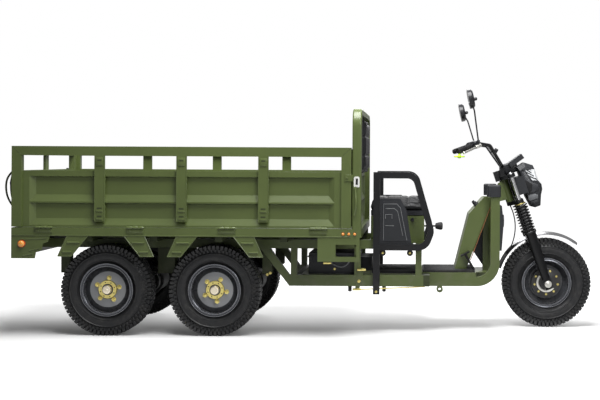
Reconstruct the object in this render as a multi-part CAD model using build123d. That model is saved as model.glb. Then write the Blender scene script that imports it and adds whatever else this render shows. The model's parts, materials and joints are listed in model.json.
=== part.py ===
"""Electric cargo tricycle with a drop-side bed, two sprung rear axles and one steered front wheel."""
from build123d import *
from math import asin, cos, pi, radians, sin
import os

# Frame: +X forward, +Y to the left, +Z up, origin on the floor under the middle of the length. Millimetres.

# Running gear
TANDEM_SPACING = 677
WHEELBASE = 2139
REAR_OVERHANG = 565
REAR_TRACK = 940
REAR_TYRE_R = 286
FRONT_TYRE_R = 295
TYRE_W = 138
TREAD_W = 112
SHOULDER_DROP = 28
WALL_R_IN = 51
LUG_COUNT = 22
LUG_DEPTH = 10
LUG_W = 26
RIM_R = 166
RIM_W = 112
RIM_LIP = 6
RIM_WALL = 10
BEAD_SEAT_R = 156
DISC_R = 114
DISC_T = 6
DISC_OUT = 22
DISC_DISH = 20
HUB_R = 40
HUB_FLANGE_R = 57
HUB_FLANGE_T = 11
HUB_CAP_R = 28
HUB_CAP_L = 26
DRUM_R = 98
DRUM_L = 44
SPINDLE_R = 18
FRONT_AXLE_R = 10
RUNNING_FIT = 0.35

# Chassis
RAIL_Y = 330
RAIL_W = 44
LOWER_RAIL_Z = 298
LOWER_RAIL_H = 72
UPPER_RAIL_Z = 539
UPPER_RAIL_H = 57
KICK_SETBACK = 474
KICK_RUN = 190
KICK_FOOT_W = 62
STRUT_W = 40
RAIL_SETBACK = 39
KICK_STRUT_GAP = 9
BED_STRUT_SETBACK = 56
SEAT_STRUT_SETBACK = 51
CROSS_W = 40
CROSS_H = 48
# Upper cross tubes: ahead of the bed's rear, the first axle's spring and the second axle's spring
UPPER_CROSS_X = (60, 20, 60)
# Lower cross tubes: behind the bed's front face
LOWER_CROSS_X = (440, 100)
FLOOR_CROSS_SETBACK = 60
AXLE_TUBE_R = 32
SPRING_W = 50
SPRING_HALF = 308
LEAF_T = 7
LEAF_COUNT = 5
LEAF_STEP = 52
SPRING_CAMBER = 30
EYE_R = 16
EYE_PIN_R = 8
HANGER_T = 6
HANGER_W = 60
BACKPLATE_T = 7
DRUM_GAP = 5
DIFF_R = 92
DIFF_L = 84
CASE_NOSE_R = 68
CASE_EDGE = 10
SPRING_SEAT_HALF = 45
SPRING_SEAT_DROP = 1
MOTOR_R = 80
MOTOR_L = 190
MOTOR_REACH = 150
MOTOR_EDGE = 14

# Bed
BED_LENGTH = 2166
BED_W = 1250
SILL_Z = 629
SILL_H = 52
SILL_W = 40
FLOOR_T = 5
BEARER_W = 46
BEARER_COUNT = 6
LATCH_REACH = 38
BOARD_DEPTH = 40
BOARD_GAP = 5
BOARD_TOP_Z = 1186
BOARD_RAIL_H = 57
BOARD_POST_W = 62
PANEL_TOP_Z = 1034
PANEL_T = 24
BAY_DEPTH = 18
BAY_INSET = 44
BAY_END = 36
BAY_SLOPE = 42
BAY_STEP = 5
UPPER_BAY_Z = (844, 1000)
LOWER_BAY_Z = (697, 835)
POCKET_W = 40
POCKET_H = 50
POCKET_T = 3
POCKET_DROP = 12
SLOT_H = 9
STAKE_W = 62
STAKE_D = BOARD_DEPTH - PANEL_T
STAKE_FOOT_Z = 720
STAKE_PITCH = 507
HINGE_PITCH = 566
HINGE_R = 7
HINGE_KNUCKLE = 34
HINGE_GAP = 0.5
HINGE_LEAF_T = 3
HINGE_LEAF_H = 36
HINGE_STRAP_H = 8
TAIL_HINGE_PITCH = 420
ARCH_DEPTH = 58
ARCH_W = 40
ARCH_TOP_Z = 1433
ARCH_BEND_R = 105
ARCH_EDGE_R = 12
ARCH_BAR_H = 40
ARCH_BARS_Z = (1048, 1330)
BACK_CUSHION_Z = (1015, 1390)
BACK_CUSHION_W = 650
BACK_CUSHION_T = 44
SKIRT_T = 4
SKIRT_DROP = 124
SKIRT_FLANGE = 24
SKIRT_SHIFT = 20
# Corners of a skirt plate from its middle: top inner, top outer, bottom outer, bottom inner
SKIRT_X = (114, 240, 296, 213)
RIB_T = 4
RIB_H = 9
RIB_DROPS = (34, 92)
WINDOW_L = 260
WINDOW_H = 150
WINDOW_SETBACK = 10
WINDOW_FRAME = (112, 21, 31, 45)
TAIL_DROP = 139
# Steps of a tail wing: (from the rear face, below the sill)
WING_STEPS = ((0, 0), (0, 139), (143, 139), (150, 99), (185, 87), (193, 47), (224, 35), (236, 0))
LATCH_W = 26
LATCH_INSET = 40
LATCH_BASE_T = 12
LATCH_BASE_Z = (900, 1010)
# Side outline of a latch lever: (behind the bed's rear face, height)
LATCH_LEVER = ((12, 1040), (12, 985), (24, 930), (12, 815), (22, 815), (LATCH_REACH, 955), (22, 1040))
MARKER_R = 8
MARKER_L = 8
MARKER_RISE = 22
MARKER_SETBACKS = (40, 76, 112)
REAR_MARKER_R = 20
REAR_MARKER_L = 12
REAR_MARKER_X = 66
REAR_MARKER_DROP = 48
TAIL_LAMP_T = 12
TAIL_LAMP_Y = (380, 540)
TAIL_LAMP_DROP = (110, 45)

# Driver's place
SEAT_REAR = 43
SEAT_LENGTH = 350
SEAT_W = 430
SEAT_BOX_Z = (567, 745)
SEAT_PAN_T = 30
CUSHION_H = 84
CUSHION_BACK = 8
CUSHION_FRONT = 2
CUSHION_EDGE_R = 24
SEAT_STRAP_H = 6
SEAT_STRAP_T = 4
SHEET_T = 3
GUARD_TUBE = 40
GUARD_X = 65
GUARD_Z = (250, 1033)
GUARD_REACH = 393
GUARD_LOW_Z = 532
GUARD_POST_L = 42
GUARD_BEND_R = 88
# Nose of the guard's loop: low corner set back, nose above the low tube, top corner set back
GUARD_NOSE = (45, 120, 110)
EAR_X = (61, 236)
EAR_R = 20
EAR_T = 8
EAR_DROP = 18
# Top edge of the guard's panel: (ahead of the guard's post, height)
GUARD_PANEL_TOP = ((0, 865), (130, 865), (170, 790))
GUARD_PANEL_L = 205
GUARD_PANEL_T = 12
GUARD_RIB = 20
GUARD_RIB_T = 4
GUARD_RIB_SHARE = 0.7
FRONT_CROSS_X = 388
LOOP_Y = 200
LOOP_W = 40
LOOP_H = 60
LOOP_Z = 287
LOOP_BEND_R = 120
POST_SETBACK = 357
POST_TOP_Z = 872
POST_TIE_L = 40
POST_TIE_H = 34
POST_TIE_DROP = 6
CAP_H = 79
CAP_L = 88
CAP_HALF_W = 30
CAP_SETBACK = 8
CAP_EDGE_R = 12
SPLASH_Z = (520, 815)
SPLASH_LIP = 10
SPLASH_BULGE = 26
HORN_Z = 705
HORN_R = 42
HORN_L = 24
HORN_STANDOFF = 4
BATTERY_L = 316
BATTERY_SETBACK = 40
BATTERY_HALF_W = 290
BATTERY_TOP_Z = 505
BATTERY_LIP = 6
BATTERY_LIP_Z = 478
BATTERY_LIP_H = 8
CONTROLLER_L = 90
CONTROLLER_HALF_W = 150
CONTROLLER_Z = (380, 470)
LASH_X = 108
LASH_R = 21
LASH_BORE_R = 9.5
LASH_L = 50
LASH_TAB_HALF = 16
FLOOR_EDGE_H = 29
FLOOR_BACK = 9
FLOOR_GAP = 5
TONGUE_GAP = 4
MAT_T = 14
MAT_INSET = 14
MAT_EDGE = 4
MAT_FRONT_GAP = 11
SHIELD_DEPTH = 76
SHIELD_REACH = 241
SHIELD_KNEE = (148, 757)
SHIELD_BROW = 51
SHIELD_HALF_W = 128
DOWN_TUBE_W = 50
DOWN_TUBE_L = 34
DOWN_TUBE_SETBACK = 410
DOWN_TUBE_TOP_Z = 830
NECK_REAR_Z = (812, 850)
NECK_TOP_DROP = 6
NECK_FOOT_RISE = 16
NECK_SHOULDER = (36, 16)
PEDAL_ARM_R = 8
PEDAL_ARM_L = 120
PEDAL_WAY = (-0.5, 0, 0.85)
PEDAL_SETBACK = 14
PEDAL_INSET = 4
PEDAL_SIZE = (66, 58, 10)
PEDAL_AT = (-60, 106)
PEDAL_TILT = 28
LEVER_Z = 680
LEVER_Y = 12
LEVER_R = 6
LEVER_L = 80
KNOB_R = (13, 20)
KNOB_L = 40
KNOB_LAP = 5

# Steering
RAKE = 19.0
FORK_OFFSET = 50
LEG_Y = 118
LEG_R = 37
LEG_FOOT_R = 27
LEG_TOP = 365
FORK_TUBE_R = 14
TUBE_SEAT = 24
TUBE_TIP = 6
AXLE_LUG_H = 72
AXLE_LUG_W = 46
FORK_SPRING_R = 42
SPRING_WIRE_R = 5
SPRING_TURNS = 9
SPRING_TOP = 556
LOWER_CLAMP_H = 565
HEAD_L = 180
CLAMP_T = 24
CLAMP_WALL = 13
LOCK_L = 76
LOCK_HALF_W = 22
LOCK_H = 44
CABLE_R = 4
CABLE_Y = 30
CABLE_BULGE = 34
CABLE_FOOT_DEG = 45
STEM_R = 14
HEAD_TUBE_R = 30
HEAD_GAP = 2
FENDER_R = 340
FENDER_HALF_W = 74
FENDER_DROP = 16
FENDER_T = 3
FENDER_REAR_DEG = 163
FENDER_FRONT_DEG = 52
FENDER_TAB_L = 32
FENDER_TAB_T = 6
LEG_PAD = 2
BAR_R = 11
BAR_BEND_R = 38
# Half of the bar from its middle out: (ahead of the yoke, sideways, above the yoke)
BAR_HALF = ((-4, 70, 66), (-95, 185, 205), (-175, 262, 216), (-310, 370, 167))
RISER_Y = 38
RISER_HALF_W = 12
RISER_X = (-16, 12)
RISER_Z = (-6, 68)
GRIP_R = 17
GRIP_L = 125
GRIP_END_T = 6
POD_SIZE = (46, 40, 34)
POD_EDGE_R = 10
POD_GAP = 2
LEVER_BLADE_R = 6
LEVER_NECK_R = 7
LEVER_NECK_L = 14
# Root and tip of a hand lever: (along from the grip's end, ahead of the bar)
LEVER_ROOT = (GRIP_L + 18, 32)
LEVER_TIP = (8, 48)
LAMP_W = 190
LAMP_HALF_W = 62
LAMP_FLANK_Y = 88
# Side outlines of the headlamp's shell and lens: (ahead of the yoke, above the yoke)
LAMP_OUTLINE = ((92, 63), (139, 94), (199, 76), (211, 53), (238, -27), (259, -49), (265, -84), (257, -123),
                (254, -193), (218, -207), (190, -200), (154, -133), (116, -5))
LENS_OUTLINE = ((141, 49), (215, 49), (241, -25), (195, -25))
LAMP_MIDDLE = (185, -70)
LAMP_TAPER = (0.78, 0.82)
LAMP_EAR_Y = 70
LAMP_EAR_L = 78
LAMP_EAR_H = 130
DISPLAY_SIZE = (108, 130, 34)
DISPLAY_AT = (90, 106)
DISPLAY_TILT = 36
STALK_X = (30, 86)
STALK_Z = (-34, 84)
STALK_HALF_W = 16
MIRROR_W = 170
MIRROR_H = 126
MIRROR_T = 34
MIRROR_TILT = 12
STEM_WIRE_R = 5
STEM_BEND_R = 30
# Each mirror's head from the foot of its stem, for the right and the left: (along, sideways, up)
MIRROR_HEADS = {-1: (-53, -60, 276), 1: (-82, 60, 214)}
# Where each stem bends, as shares of that way
MIRROR_ELBOW = (0.55, 0.7, 0.72)

# Places worked out from the driving dimensions
OVERALL_LENGTH = LATCH_REACH + REAR_OVERHANG + TANDEM_SPACING + WHEELBASE + FRONT_TYRE_R
X_BED_REAR = LATCH_REACH - OVERALL_LENGTH / 2
X_BED_FRONT = X_BED_REAR + BED_LENGTH
X_AXLE_1 = X_BED_REAR + REAR_OVERHANG
X_AXLE_2 = X_AXLE_1 + TANDEM_SPACING
X_FRONT = X_AXLE_2 + WHEELBASE
X_ARCH = X_BED_FRONT - ARCH_DEPTH
X_POST = X_FRONT - POST_SETBACK
X_CROSS = X_BED_FRONT + FRONT_CROSS_X
X_KICK = X_BED_FRONT - KICK_SETBACK
X_SEAT_STRUT = X_CROSS - SEAT_STRUT_SETBACK
X_SEAT_FRONT = X_BED_FRONT + SEAT_REAR + SEAT_LENGTH
BED_HALF = BED_W / 2
SILL_TOP_Z = SILL_Z + SILL_H
BOARD_FOOT_Z = SILL_TOP_Z + BOARD_GAP
BOARD_RAIL_Z = BOARD_TOP_Z - BOARD_RAIL_H
BOARD_LENGTH = X_ARCH - BOARD_GAP - X_BED_REAR
BOARD_MID_X = X_BED_REAR + BOARD_LENGTH / 2
TAILGATE_W = BED_W - 2 * (BOARD_DEPTH + BOARD_GAP)
HINGE_Z = SILL_TOP_Z + BOARD_GAP / 2
UPPER_RAIL_TOP = UPPER_RAIL_Z + UPPER_RAIL_H
LOWER_RAIL_TOP = LOWER_RAIL_Z + LOWER_RAIL_H
RAIL_IN = RAIL_Y - RAIL_W / 2
RAIL_OUT = RAIL_Y + RAIL_W / 2
WHEEL_Y = REAR_TRACK / 2
LOOP_TOP_Z = LOOP_Z + LOOP_H
FLOOR_Z = LOOP_TOP_Z + FLOOR_EDGE_H
MAT_TOP_Z = FLOOR_Z + MAT_T
FORK = Pos(X_FRONT, 0, FRONT_TYRE_R) * Rot(0, -RAKE, 0)
UPPER_CLAMP_H = LOWER_CLAMP_H + HEAD_L
YOKE_TOP_H = UPPER_CLAMP_H + CLAMP_T
YOKE = (FORK * Pos(-FORK_OFFSET, 0, YOKE_TOP_H)).position


def block(x, y, z):
    """A box from three (low, high) pairs."""
    size = [high - low for low, high in (x, y, z)]
    middle = [(high + low) / 2 for low, high in (x, y, z)]
    return Pos(*middle) * Box(*size)


def side_plate(points, y):
    """A flat plate: an XZ outline between two Y values."""
    low, high = y
    outline = make_face(Polyline(*[(px, low, pz) for px, pz in points], close=True))
    return extrude(outline, high - low, (0, 1, 0))


def cylinder_y(x, z, radius, y):
    """A round bar along Y between two Y values."""
    low, high = y
    return Pos(x, (low + high) / 2, z) * Rot(90, 0, 0) * Cylinder(radius, high - low)


def swept(path, section):
    """A section carried along a path from its start."""
    return sweep(Plane(path @ 0, z_dir=path % 0) * section, path)


def pair(shape):
    """The shape and its mirror image across the middle plane."""
    return [shape, mirror(shape, Plane.XZ)]


def save(node, *shapes):
    """Write the separate solids of one node."""
    solids = [solid for shape in shapes for solid in shape.solids()]
    export_step(Compound(children=solids), f"parts/{node}.step")


def turned(points):
    """A solid turned about Y from a closed outline of (along Y, radius) points."""
    return revolve(make_face(Polyline(*[(r, s) for s, r in points], close=True)), Axis.Y)


def polygon(inradius, sides, height):
    """A regular outline with a flat at the bottom, at a height along the axle."""
    return Pos(0, 0, height) * Rot(0, 0, 180 / sides) * RegularPolygon(inradius, sides, major_radius=False)


def tyre(radius):
    """A tyre ring of flat facets with a row of lugs on each shoulder, its axle along Y."""
    sides = 2 * LUG_COUNT
    tread = TREAD_W / 2
    wall = TYRE_W / 2
    seat = RIM_W / 2 - RIM_LIP - RUNNING_FIT
    ring = extrude(polygon(radius, sides, -tread), TREAD_W)
    wall_ring = radius - WALL_R_IN
    for side in (-1, 1):
        shoulder = [polygon(radius, sides, side * tread), polygon(radius - SHOULDER_DROP, sides, side * wall)]
        ring += loft(shoulder, ruled=True)
    for side in (-1, 1):
        dish = [polygon(RIM_R + RIM_LIP, LUG_COUNT, side * seat), polygon(wall_ring, LUG_COUNT, side * wall)]
        ring -= loft(dish, ruled=True)
    ring -= extrude(polygon(BEAD_SEAT_R + RUNNING_FIT, LUG_COUNT, -wall), TYRE_W)
    half_turn = pi / sides
    tip = (radius + LUG_DEPTH) / cos(half_turn)
    root = (radius - LUG_DEPTH) / cos(half_turn)
    corners = [(r * sin(a), -r * cos(a)) for r, a in ((root, -half_turn), (tip, -half_turn), (tip, half_turn),
                                                      (root, half_turn))]
    groove = make_face(Polyline(*corners, close=True))
    step = 360 / LUG_COUNT
    grooves = []
    for side in (-1, 1):
        start = tread - LUG_W if side > 0 else -wall
        cut = extrude(Pos(0, 0, start) * groove, wall - tread + LUG_W)
        grooves += [Rot(0, 0, (index + 0.5) * step) * cut for index in range(LUG_COUNT)]
    return Rot(90, 0, 0) * (ring - grooves)


def rim_section():
    """Outline of a pressed steel rim with its dished disc, as (along Y, radius) points."""
    half = RIM_W / 2
    inner = BEAD_SEAT_R - RIM_WALL
    disc_in = DISC_OUT - DISC_T
    foot = DISC_OUT - DISC_DISH
    return [
        (-half, RIM_R), (-half + RIM_LIP, RIM_R), (-half + RIM_LIP, BEAD_SEAT_R),
        (half - RIM_LIP, BEAD_SEAT_R), (half - RIM_LIP, RIM_R), (half, RIM_R), (half, inner),
        (foot, inner), (DISC_OUT, DISC_R), (DISC_OUT, HUB_R), (disc_in, HUB_R), (disc_in, DISC_R),
        (foot - DISC_T, inner), (-half, inner),
    ]


def hub_section(bore, through):
    """Outline of hub, brake drum and cap, as (along Y, radius) points."""
    neck = HUB_R - RUNNING_FIT
    flange = DISC_OUT + HUB_FLANGE_T
    cap = flange + HUB_CAP_L
    drum = DISC_OUT - DISC_T
    points = [(drum - DRUM_L, bore), (drum - DRUM_L, DRUM_R), (drum, DRUM_R), (drum, neck),
              (DISC_OUT, neck), (DISC_OUT, HUB_FLANGE_R), (flange, HUB_FLANGE_R),
              (flange, HUB_CAP_R), (cap, HUB_CAP_R)]
    if through:
        return points + [(cap, bore)]
    return points + [(cap, 0), (flange, 0), (flange, bore)]


def rear_wheel(side):
    """Wheel of one rear corner about the origin; side is +1 on the left, -1 on the right."""
    wheel = turned(rim_section()) + turned(hub_section(SPINDLE_R + RUNNING_FIT, False))
    return wheel if side > 0 else mirror(wheel, Plane.XZ)


def frame_rails():
    """Upper and lower longitudinal tubes."""
    y = (RAIL_IN, RAIL_OUT)
    upper = block((X_BED_REAR + RAIL_SETBACK, X_BED_FRONT + SEAT_REAR + CROSS_W / 2), y,
                  (UPPER_RAIL_Z, UPPER_RAIL_TOP))
    lower = block((X_KICK, X_CROSS), y, (LOWER_RAIL_Z, LOWER_RAIL_TOP))
    return pair(upper) + pair(lower)


def frame_struts():
    """Sloping kick-ups and upright posts between the two pairs of rails."""
    y = (RAIL_IN, RAIL_OUT)
    foot = X_KICK
    top = UPPER_RAIL_Z
    kick = side_plate([(foot, LOWER_RAIL_Z), (foot, LOWER_RAIL_TOP), (foot - KICK_RUN + KICK_FOOT_W, top),
                       (foot - KICK_RUN, top)], y)
    struts = pair(kick)
    for x in (foot + KICK_STRUT_GAP, X_BED_FRONT - BED_STRUT_SETBACK, X_SEAT_STRUT):
        struts += pair(block((x, x + STRUT_W), y, (LOWER_RAIL_TOP, top)))
    return struts


def cross_members():
    """Tubes across the chassis."""
    y = (-RAIL_IN, RAIL_IN)
    members = []
    # Upper cross tubes: (rear face, top)
    high = UPPER_RAIL_Z + CROSS_H
    starts = (X_BED_REAR, X_AXLE_1 + SPRING_HALF, X_AXLE_2 + SPRING_HALF)
    uppers = [(start + dx, high) for start, dx in zip(starts, UPPER_CROSS_X)]
    uppers.append((X_BED_FRONT + SEAT_REAR - CROSS_W / 2, SEAT_BOX_Z[0]))
    for x, top in uppers:
        members.append(block((x, x + CROSS_W), y, (UPPER_RAIL_Z, top)))
    for x in [X_BED_FRONT - dx for dx in LOWER_CROSS_X] + [X_CROSS - FLOOR_CROSS_SETBACK]:
        members.append(block((x, x + CROSS_W), y, (LOWER_RAIL_TOP - CROSS_H, LOWER_RAIL_TOP)))
    members.append(block((X_CROSS, X_CROSS + CROSS_W), (-RAIL_OUT, RAIL_OUT), (LOWER_RAIL_Z, LOWER_RAIL_TOP)))
    seat_beam = (X_SEAT_STRUT, X_SEAT_STRUT + STRUT_W)
    members.append(block(seat_beam, (-RAIL_OUT, RAIL_OUT), (UPPER_RAIL_Z, SEAT_BOX_Z[0])))
    return members


def spring_pack(x_axle):
    """Leaf spring over one axle end on the left, with rolled eyes."""
    main_z = REAR_TYRE_R + AXLE_TUBE_R + LEAF_T * LEAF_COUNT
    radius = (SPRING_HALF ** 2 + SPRING_CAMBER ** 2) / (2 * SPRING_CAMBER)
    y = (RAIL_Y - SPRING_W / 2, RAIL_Y + SPRING_W / 2)
    pack = None
    for leaf in range(LEAF_COUNT):
        inner = radius + leaf * LEAF_T
        reach = asin((SPRING_HALF - leaf * LEAF_STEP) / inner)
        centre = (x_axle, main_z + radius)
        points = {}
        for name, r in (("in", inner), ("out", inner + LEAF_T)):
            turns = (-reach, 0, reach)
            points[name] = [(centre[0] + r * sin(a), y[0], centre[1] - r * cos(a)) for a in turns]
        top, low = points["in"], points["out"]
        outline = ThreePointArc(*top) + Line(top[2], low[2]) + ThreePointArc(*low) + Line(low[0], top[0])
        strip = extrude(make_face(outline), SPRING_W, (0, 1, 0))
        pack = strip if pack is None else pack + strip
    eye_z = main_z + SPRING_CAMBER + EYE_R - LEAF_T
    for x in (x_axle - SPRING_HALF, x_axle + SPRING_HALF):
        pack += cylinder_y(x, eye_z, EYE_R, y)
        pack -= cylinder_y(x, eye_z, EYE_PIN_R + RUNNING_FIT, y)
    return pack, eye_z


def spring_hanger(x_pins, x, eye_z):
    """Cheek plates under the upper rail with a pin through each spring eye."""
    half = SPRING_W / 2 + RUNNING_FIT
    z = (eye_z - EYE_R, UPPER_RAIL_Z)
    inner = block(x, (RAIL_Y - half - HANGER_T, RAIL_Y - half), z)
    outer = block(x, (RAIL_Y + half, RAIL_Y + half + HANGER_T), z)
    hanger = inner + outer + block(x, (RAIL_Y - half, RAIL_Y + half), (UPPER_RAIL_Z - HANGER_T, UPPER_RAIL_Z))
    for x_pin in x_pins:
        hanger += cylinder_y(x_pin, eye_z, EYE_PIN_R, (RAIL_Y - half - HANGER_T, RAIL_Y + half + HANGER_T))
    return hanger


def kick_hanger(x_pin, eye_z):
    """Cheek plates under the sloping kick-up with a pin through the front spring's eye."""
    foot = X_KICK
    slope = (UPPER_RAIL_Z - LOWER_RAIL_Z) / KICK_RUN
    ends = [x_pin - HANGER_W / 2, x_pin + HANGER_W / 2]
    top = [(x, LOWER_RAIL_Z + (foot - x) * slope) for x in ends]
    low = [(x, eye_z - EYE_R) for x in reversed(ends)]
    half = SPRING_W / 2 + RUNNING_FIT
    inner = side_plate(top + low, (RAIL_Y - half - HANGER_T, RAIL_Y - half))
    outer = side_plate(top + low, (RAIL_Y + half, RAIL_Y + half + HANGER_T))
    strip = top + [(x, z - 2 * HANGER_T) for x, z in reversed(top)]
    hanger = inner + outer + side_plate(strip, (RAIL_Y - half, RAIL_Y + half))
    return hanger + cylinder_y(x_pin, eye_z, EYE_PIN_R, (RAIL_Y - half - HANGER_T, RAIL_Y + half + HANGER_T))


def axle_housing(x_axle):
    """Axle tube with differential, spring seats, brake back plates and wheel spindles."""
    z = REAR_TYRE_R
    back = WHEEL_Y + DISC_OUT - DISC_T - DRUM_L - DRUM_GAP
    tube = cylinder_y(x_axle, z, AXLE_TUBE_R, (-back, back))
    tube += cylinder_y(x_axle, z, SPINDLE_R, (-WHEEL_Y - DISC_OUT, WHEEL_Y + DISC_OUT))
    case = Sketch() + Circle(DIFF_R) + Pos(MOTOR_REACH, 0) * Circle(CASE_NOSE_R)
    plane = Plane((x_axle, -DIFF_L / 2, z), x_dir=(1, 0, 0), z_dir=(0, 1, 0))
    belly = extrude(plane * make_hull(case.edges()), DIFF_L)
    tube += chamfer(belly.edges().filter_by(Axis.Y, reverse=True), CASE_EDGE)
    for side in (-1, 1):
        plate = sorted((side * back, side * (back - BACKPLATE_T)))
        tube += cylinder_y(x_axle, z, DRUM_R, plate)
        seat = (side * RAIL_Y - SPRING_W / 2, side * RAIL_Y + SPRING_W / 2)
        ends = (x_axle - SPRING_SEAT_HALF, x_axle + SPRING_SEAT_HALF)
        tube += block(ends, seat, (z, z + AXLE_TUBE_R - SPRING_SEAT_DROP))
    return tube


def drive_motor(x_axle):
    """Drive motor ahead of the differential, lying across the chassis."""
    x = x_axle + MOTOR_REACH
    body = cylinder_y(x, REAR_TYRE_R, MOTOR_R, (DIFF_L / 2, DIFF_L / 2 + MOTOR_L))
    return chamfer(body.edges().filter_by(GeomType.CIRCLE).sort_by(Axis.Y)[-1], MOTOR_EDGE)


def knuckles():
    """Centres and lengths of a hinge's three knuckles: (along the hinge, length, on the moving side)."""
    step = HINGE_KNUCKLE + HINGE_GAP
    return [(-step, HINGE_KNUCKLE, False), (0, HINGE_KNUCKLE, True), (step, HINGE_KNUCKLE, False)]


def knuckle(u, length, moving):
    """One knuckle with its strap to the board or its leaf on the sill; the outer face is Y = 0."""
    barrel = Pos(u, -HINGE_R, HINGE_Z) * Rot(0, 90, 0) * Cylinder(HINGE_R, length)
    x = (u - length / 2, u + length / 2)
    if moving:
        return barrel + block(x, (-HINGE_R, STAKE_D), (BOARD_FOOT_Z, BOARD_FOOT_Z + HINGE_STRAP_H))
    return barrel + block(x, (-HINGE_R, 0), (HINGE_Z - HINGE_R, SILL_TOP_Z))


def fixed_hinge():
    """The sill's half of one hinge."""
    leaf = block((-1.5 * HINGE_KNUCKLE, 1.5 * HINGE_KNUCKLE), (-HINGE_LEAF_T, 0),
                 (SILL_TOP_Z - HINGE_LEAF_H, HINGE_Z - HINGE_R))
    for u, length, moving in knuckles():
        if not moving:
            leaf += knuckle(u, length, False)
    return leaf


def bay(half, low, high):
    """A pressed recess into Y > 0: a long slope below, a sharp step above and sloping ends."""
    mouth = [(-half, low), (half, low), (half, high), (-half, high)]
    end = half - BAY_END
    foot = low + BAY_SLOPE
    back = [(-end, foot), (end, foot), (end, high - BAY_STEP), (-end, high - BAY_STEP)]
    faces = []
    for y, points in ((0, mouth), (BAY_DEPTH, back)):
        faces.append(make_face(Polyline(*[(x, y, z) for x, z in points], close=True)))
    return loft(faces, ruled=True)


def stake(u):
    """A pressed stake with a strap pocket near its top and two strap slots near its foot."""
    x = (u - STAKE_W / 2, u + STAKE_W / 2)
    post = block(x, (0, STAKE_D), (STAKE_FOOT_Z, BOARD_RAIL_Z))
    wide = (u - POCKET_W / 2, u + POCKET_W / 2)
    top = BOARD_RAIL_Z - POCKET_DROP
    post += block(wide, (-POCKET_T, 0), (top - POCKET_H, top))
    for z in (STAKE_FOOT_Z + POCKET_DROP, STAKE_FOOT_Z + POCKET_DROP + POCKET_H):
        post += block(wide, (-POCKET_T, 0), (z, z + SLOT_H))
    return post


def board(length, stakes, hinges):
    """Frame and pressed panel of one drop board standing along X, its outer face at Y = 0."""
    half = length / 2
    inside = half - BOARD_POST_W
    depth = (0, BOARD_DEPTH)
    frame = block((-half, half), depth, (BOARD_FOOT_Z, BOARD_TOP_Z))
    frame -= block((-inside, inside), depth, (BOARD_FOOT_Z, BOARD_RAIL_Z))
    for u in stakes:
        frame += stake(u)
    panel = block((-inside, inside), (STAKE_D, BOARD_DEPTH), (BOARD_FOOT_Z, PANEL_TOP_Z))
    for low, high in (UPPER_BAY_Z, LOWER_BAY_Z):
        panel -= Pos(0, STAKE_D, 0) * bay(inside - BAY_INSET, low, high)
    for u in hinges:
        panel += Pos(u, 0, 0) * knuckle(*knuckles()[1])
    return frame, panel


def spread(count, pitch):
    """Evenly spaced places about zero."""
    return [(index - (count - 1) / 2) * pitch for index in range(count)]


def headboard():
    """Arch of bent tube with its pressed panel and the bars that carry the back cushion."""
    height = ARCH_TOP_Z - SILL_TOP_Z
    plane = Plane((X_ARCH, 0, SILL_TOP_Z + height / 2), x_dir=(0, 1, 0), z_dir=(1, 0, 0))
    outer = Rectangle(BED_W, height)
    inner = Pos(0, -ARCH_W / 2) * Rectangle(BED_W - 2 * ARCH_W, height - ARCH_W)
    outer = fillet(outer.vertices().group_by(Axis.Y)[-1], ARCH_BEND_R)
    inner = fillet(inner.vertices().group_by(Axis.Y)[-1], ARCH_BEND_R - ARCH_W)
    arch = extrude(plane * (outer - inner), ARCH_DEPTH)
    rims = arch.faces().sort_by(Axis.X)[0].edges() + arch.faces().sort_by(Axis.X)[-1].edges()
    inset = ARCH_W - ARCH_EDGE_R / 2
    outside = [edge for edge in rims if abs(edge.center().Y) > BED_HALF - inset
               or edge.center().Z > ARCH_TOP_Z - inset]
    arch = fillet([edge for edge in outside if edge.center().Z > SILL_TOP_Z + RUNNING_FIT], ARCH_EDGE_R)
    y = (ARCH_W - BED_HALF, BED_HALF - ARCH_W)
    x = (X_ARCH, X_ARCH + PANEL_T)
    for z in ARCH_BARS_Z:
        arch += block(x, y, (z, z + ARCH_BAR_H))
    panel = block(x, y, (SILL_TOP_Z, PANEL_TOP_Z))
    for low, high in (UPPER_BAY_Z, LOWER_BAY_Z):
        panel -= Pos(x[1], 0, 0) * Rot(0, 0, 90) * bay(y[1] - BAY_INSET, low, high)
    return arch + panel


def skirt_plate(x_axle, way):
    """One pressed plate under the left sill beside a wheel, with a flange and two ribs."""
    y = (BED_HALF - SKIRT_T, BED_HALF)
    low, high = SILL_Z - SKIRT_DROP, SILL_Z
    top_in, top_out, low_out, low_in = [x_axle + SKIRT_SHIFT + way * dx for dx in SKIRT_X]
    plate = side_plate([(top_in, high), (top_out, high), (low_out, low), (low_in, low)], y)
    plate += block(sorted((top_in, top_out)), (BED_HALF - SKIRT_FLANGE, BED_HALF), (SILL_Z - SKIRT_T, SILL_Z))
    for drop in RIB_DROPS:
        share = drop / SKIRT_DROP
        ends = [top_in + (low_in - top_in) * share, top_out + (low_out - top_out) * share]
        inset = way * 2 * RIB_H
        rib = block(sorted((ends[0] + inset, ends[1] - inset)), (BED_HALF, BED_HALF + RIB_T),
                    (high - drop - RIB_H, high - drop))
        plate += rib
    return plate


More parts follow.
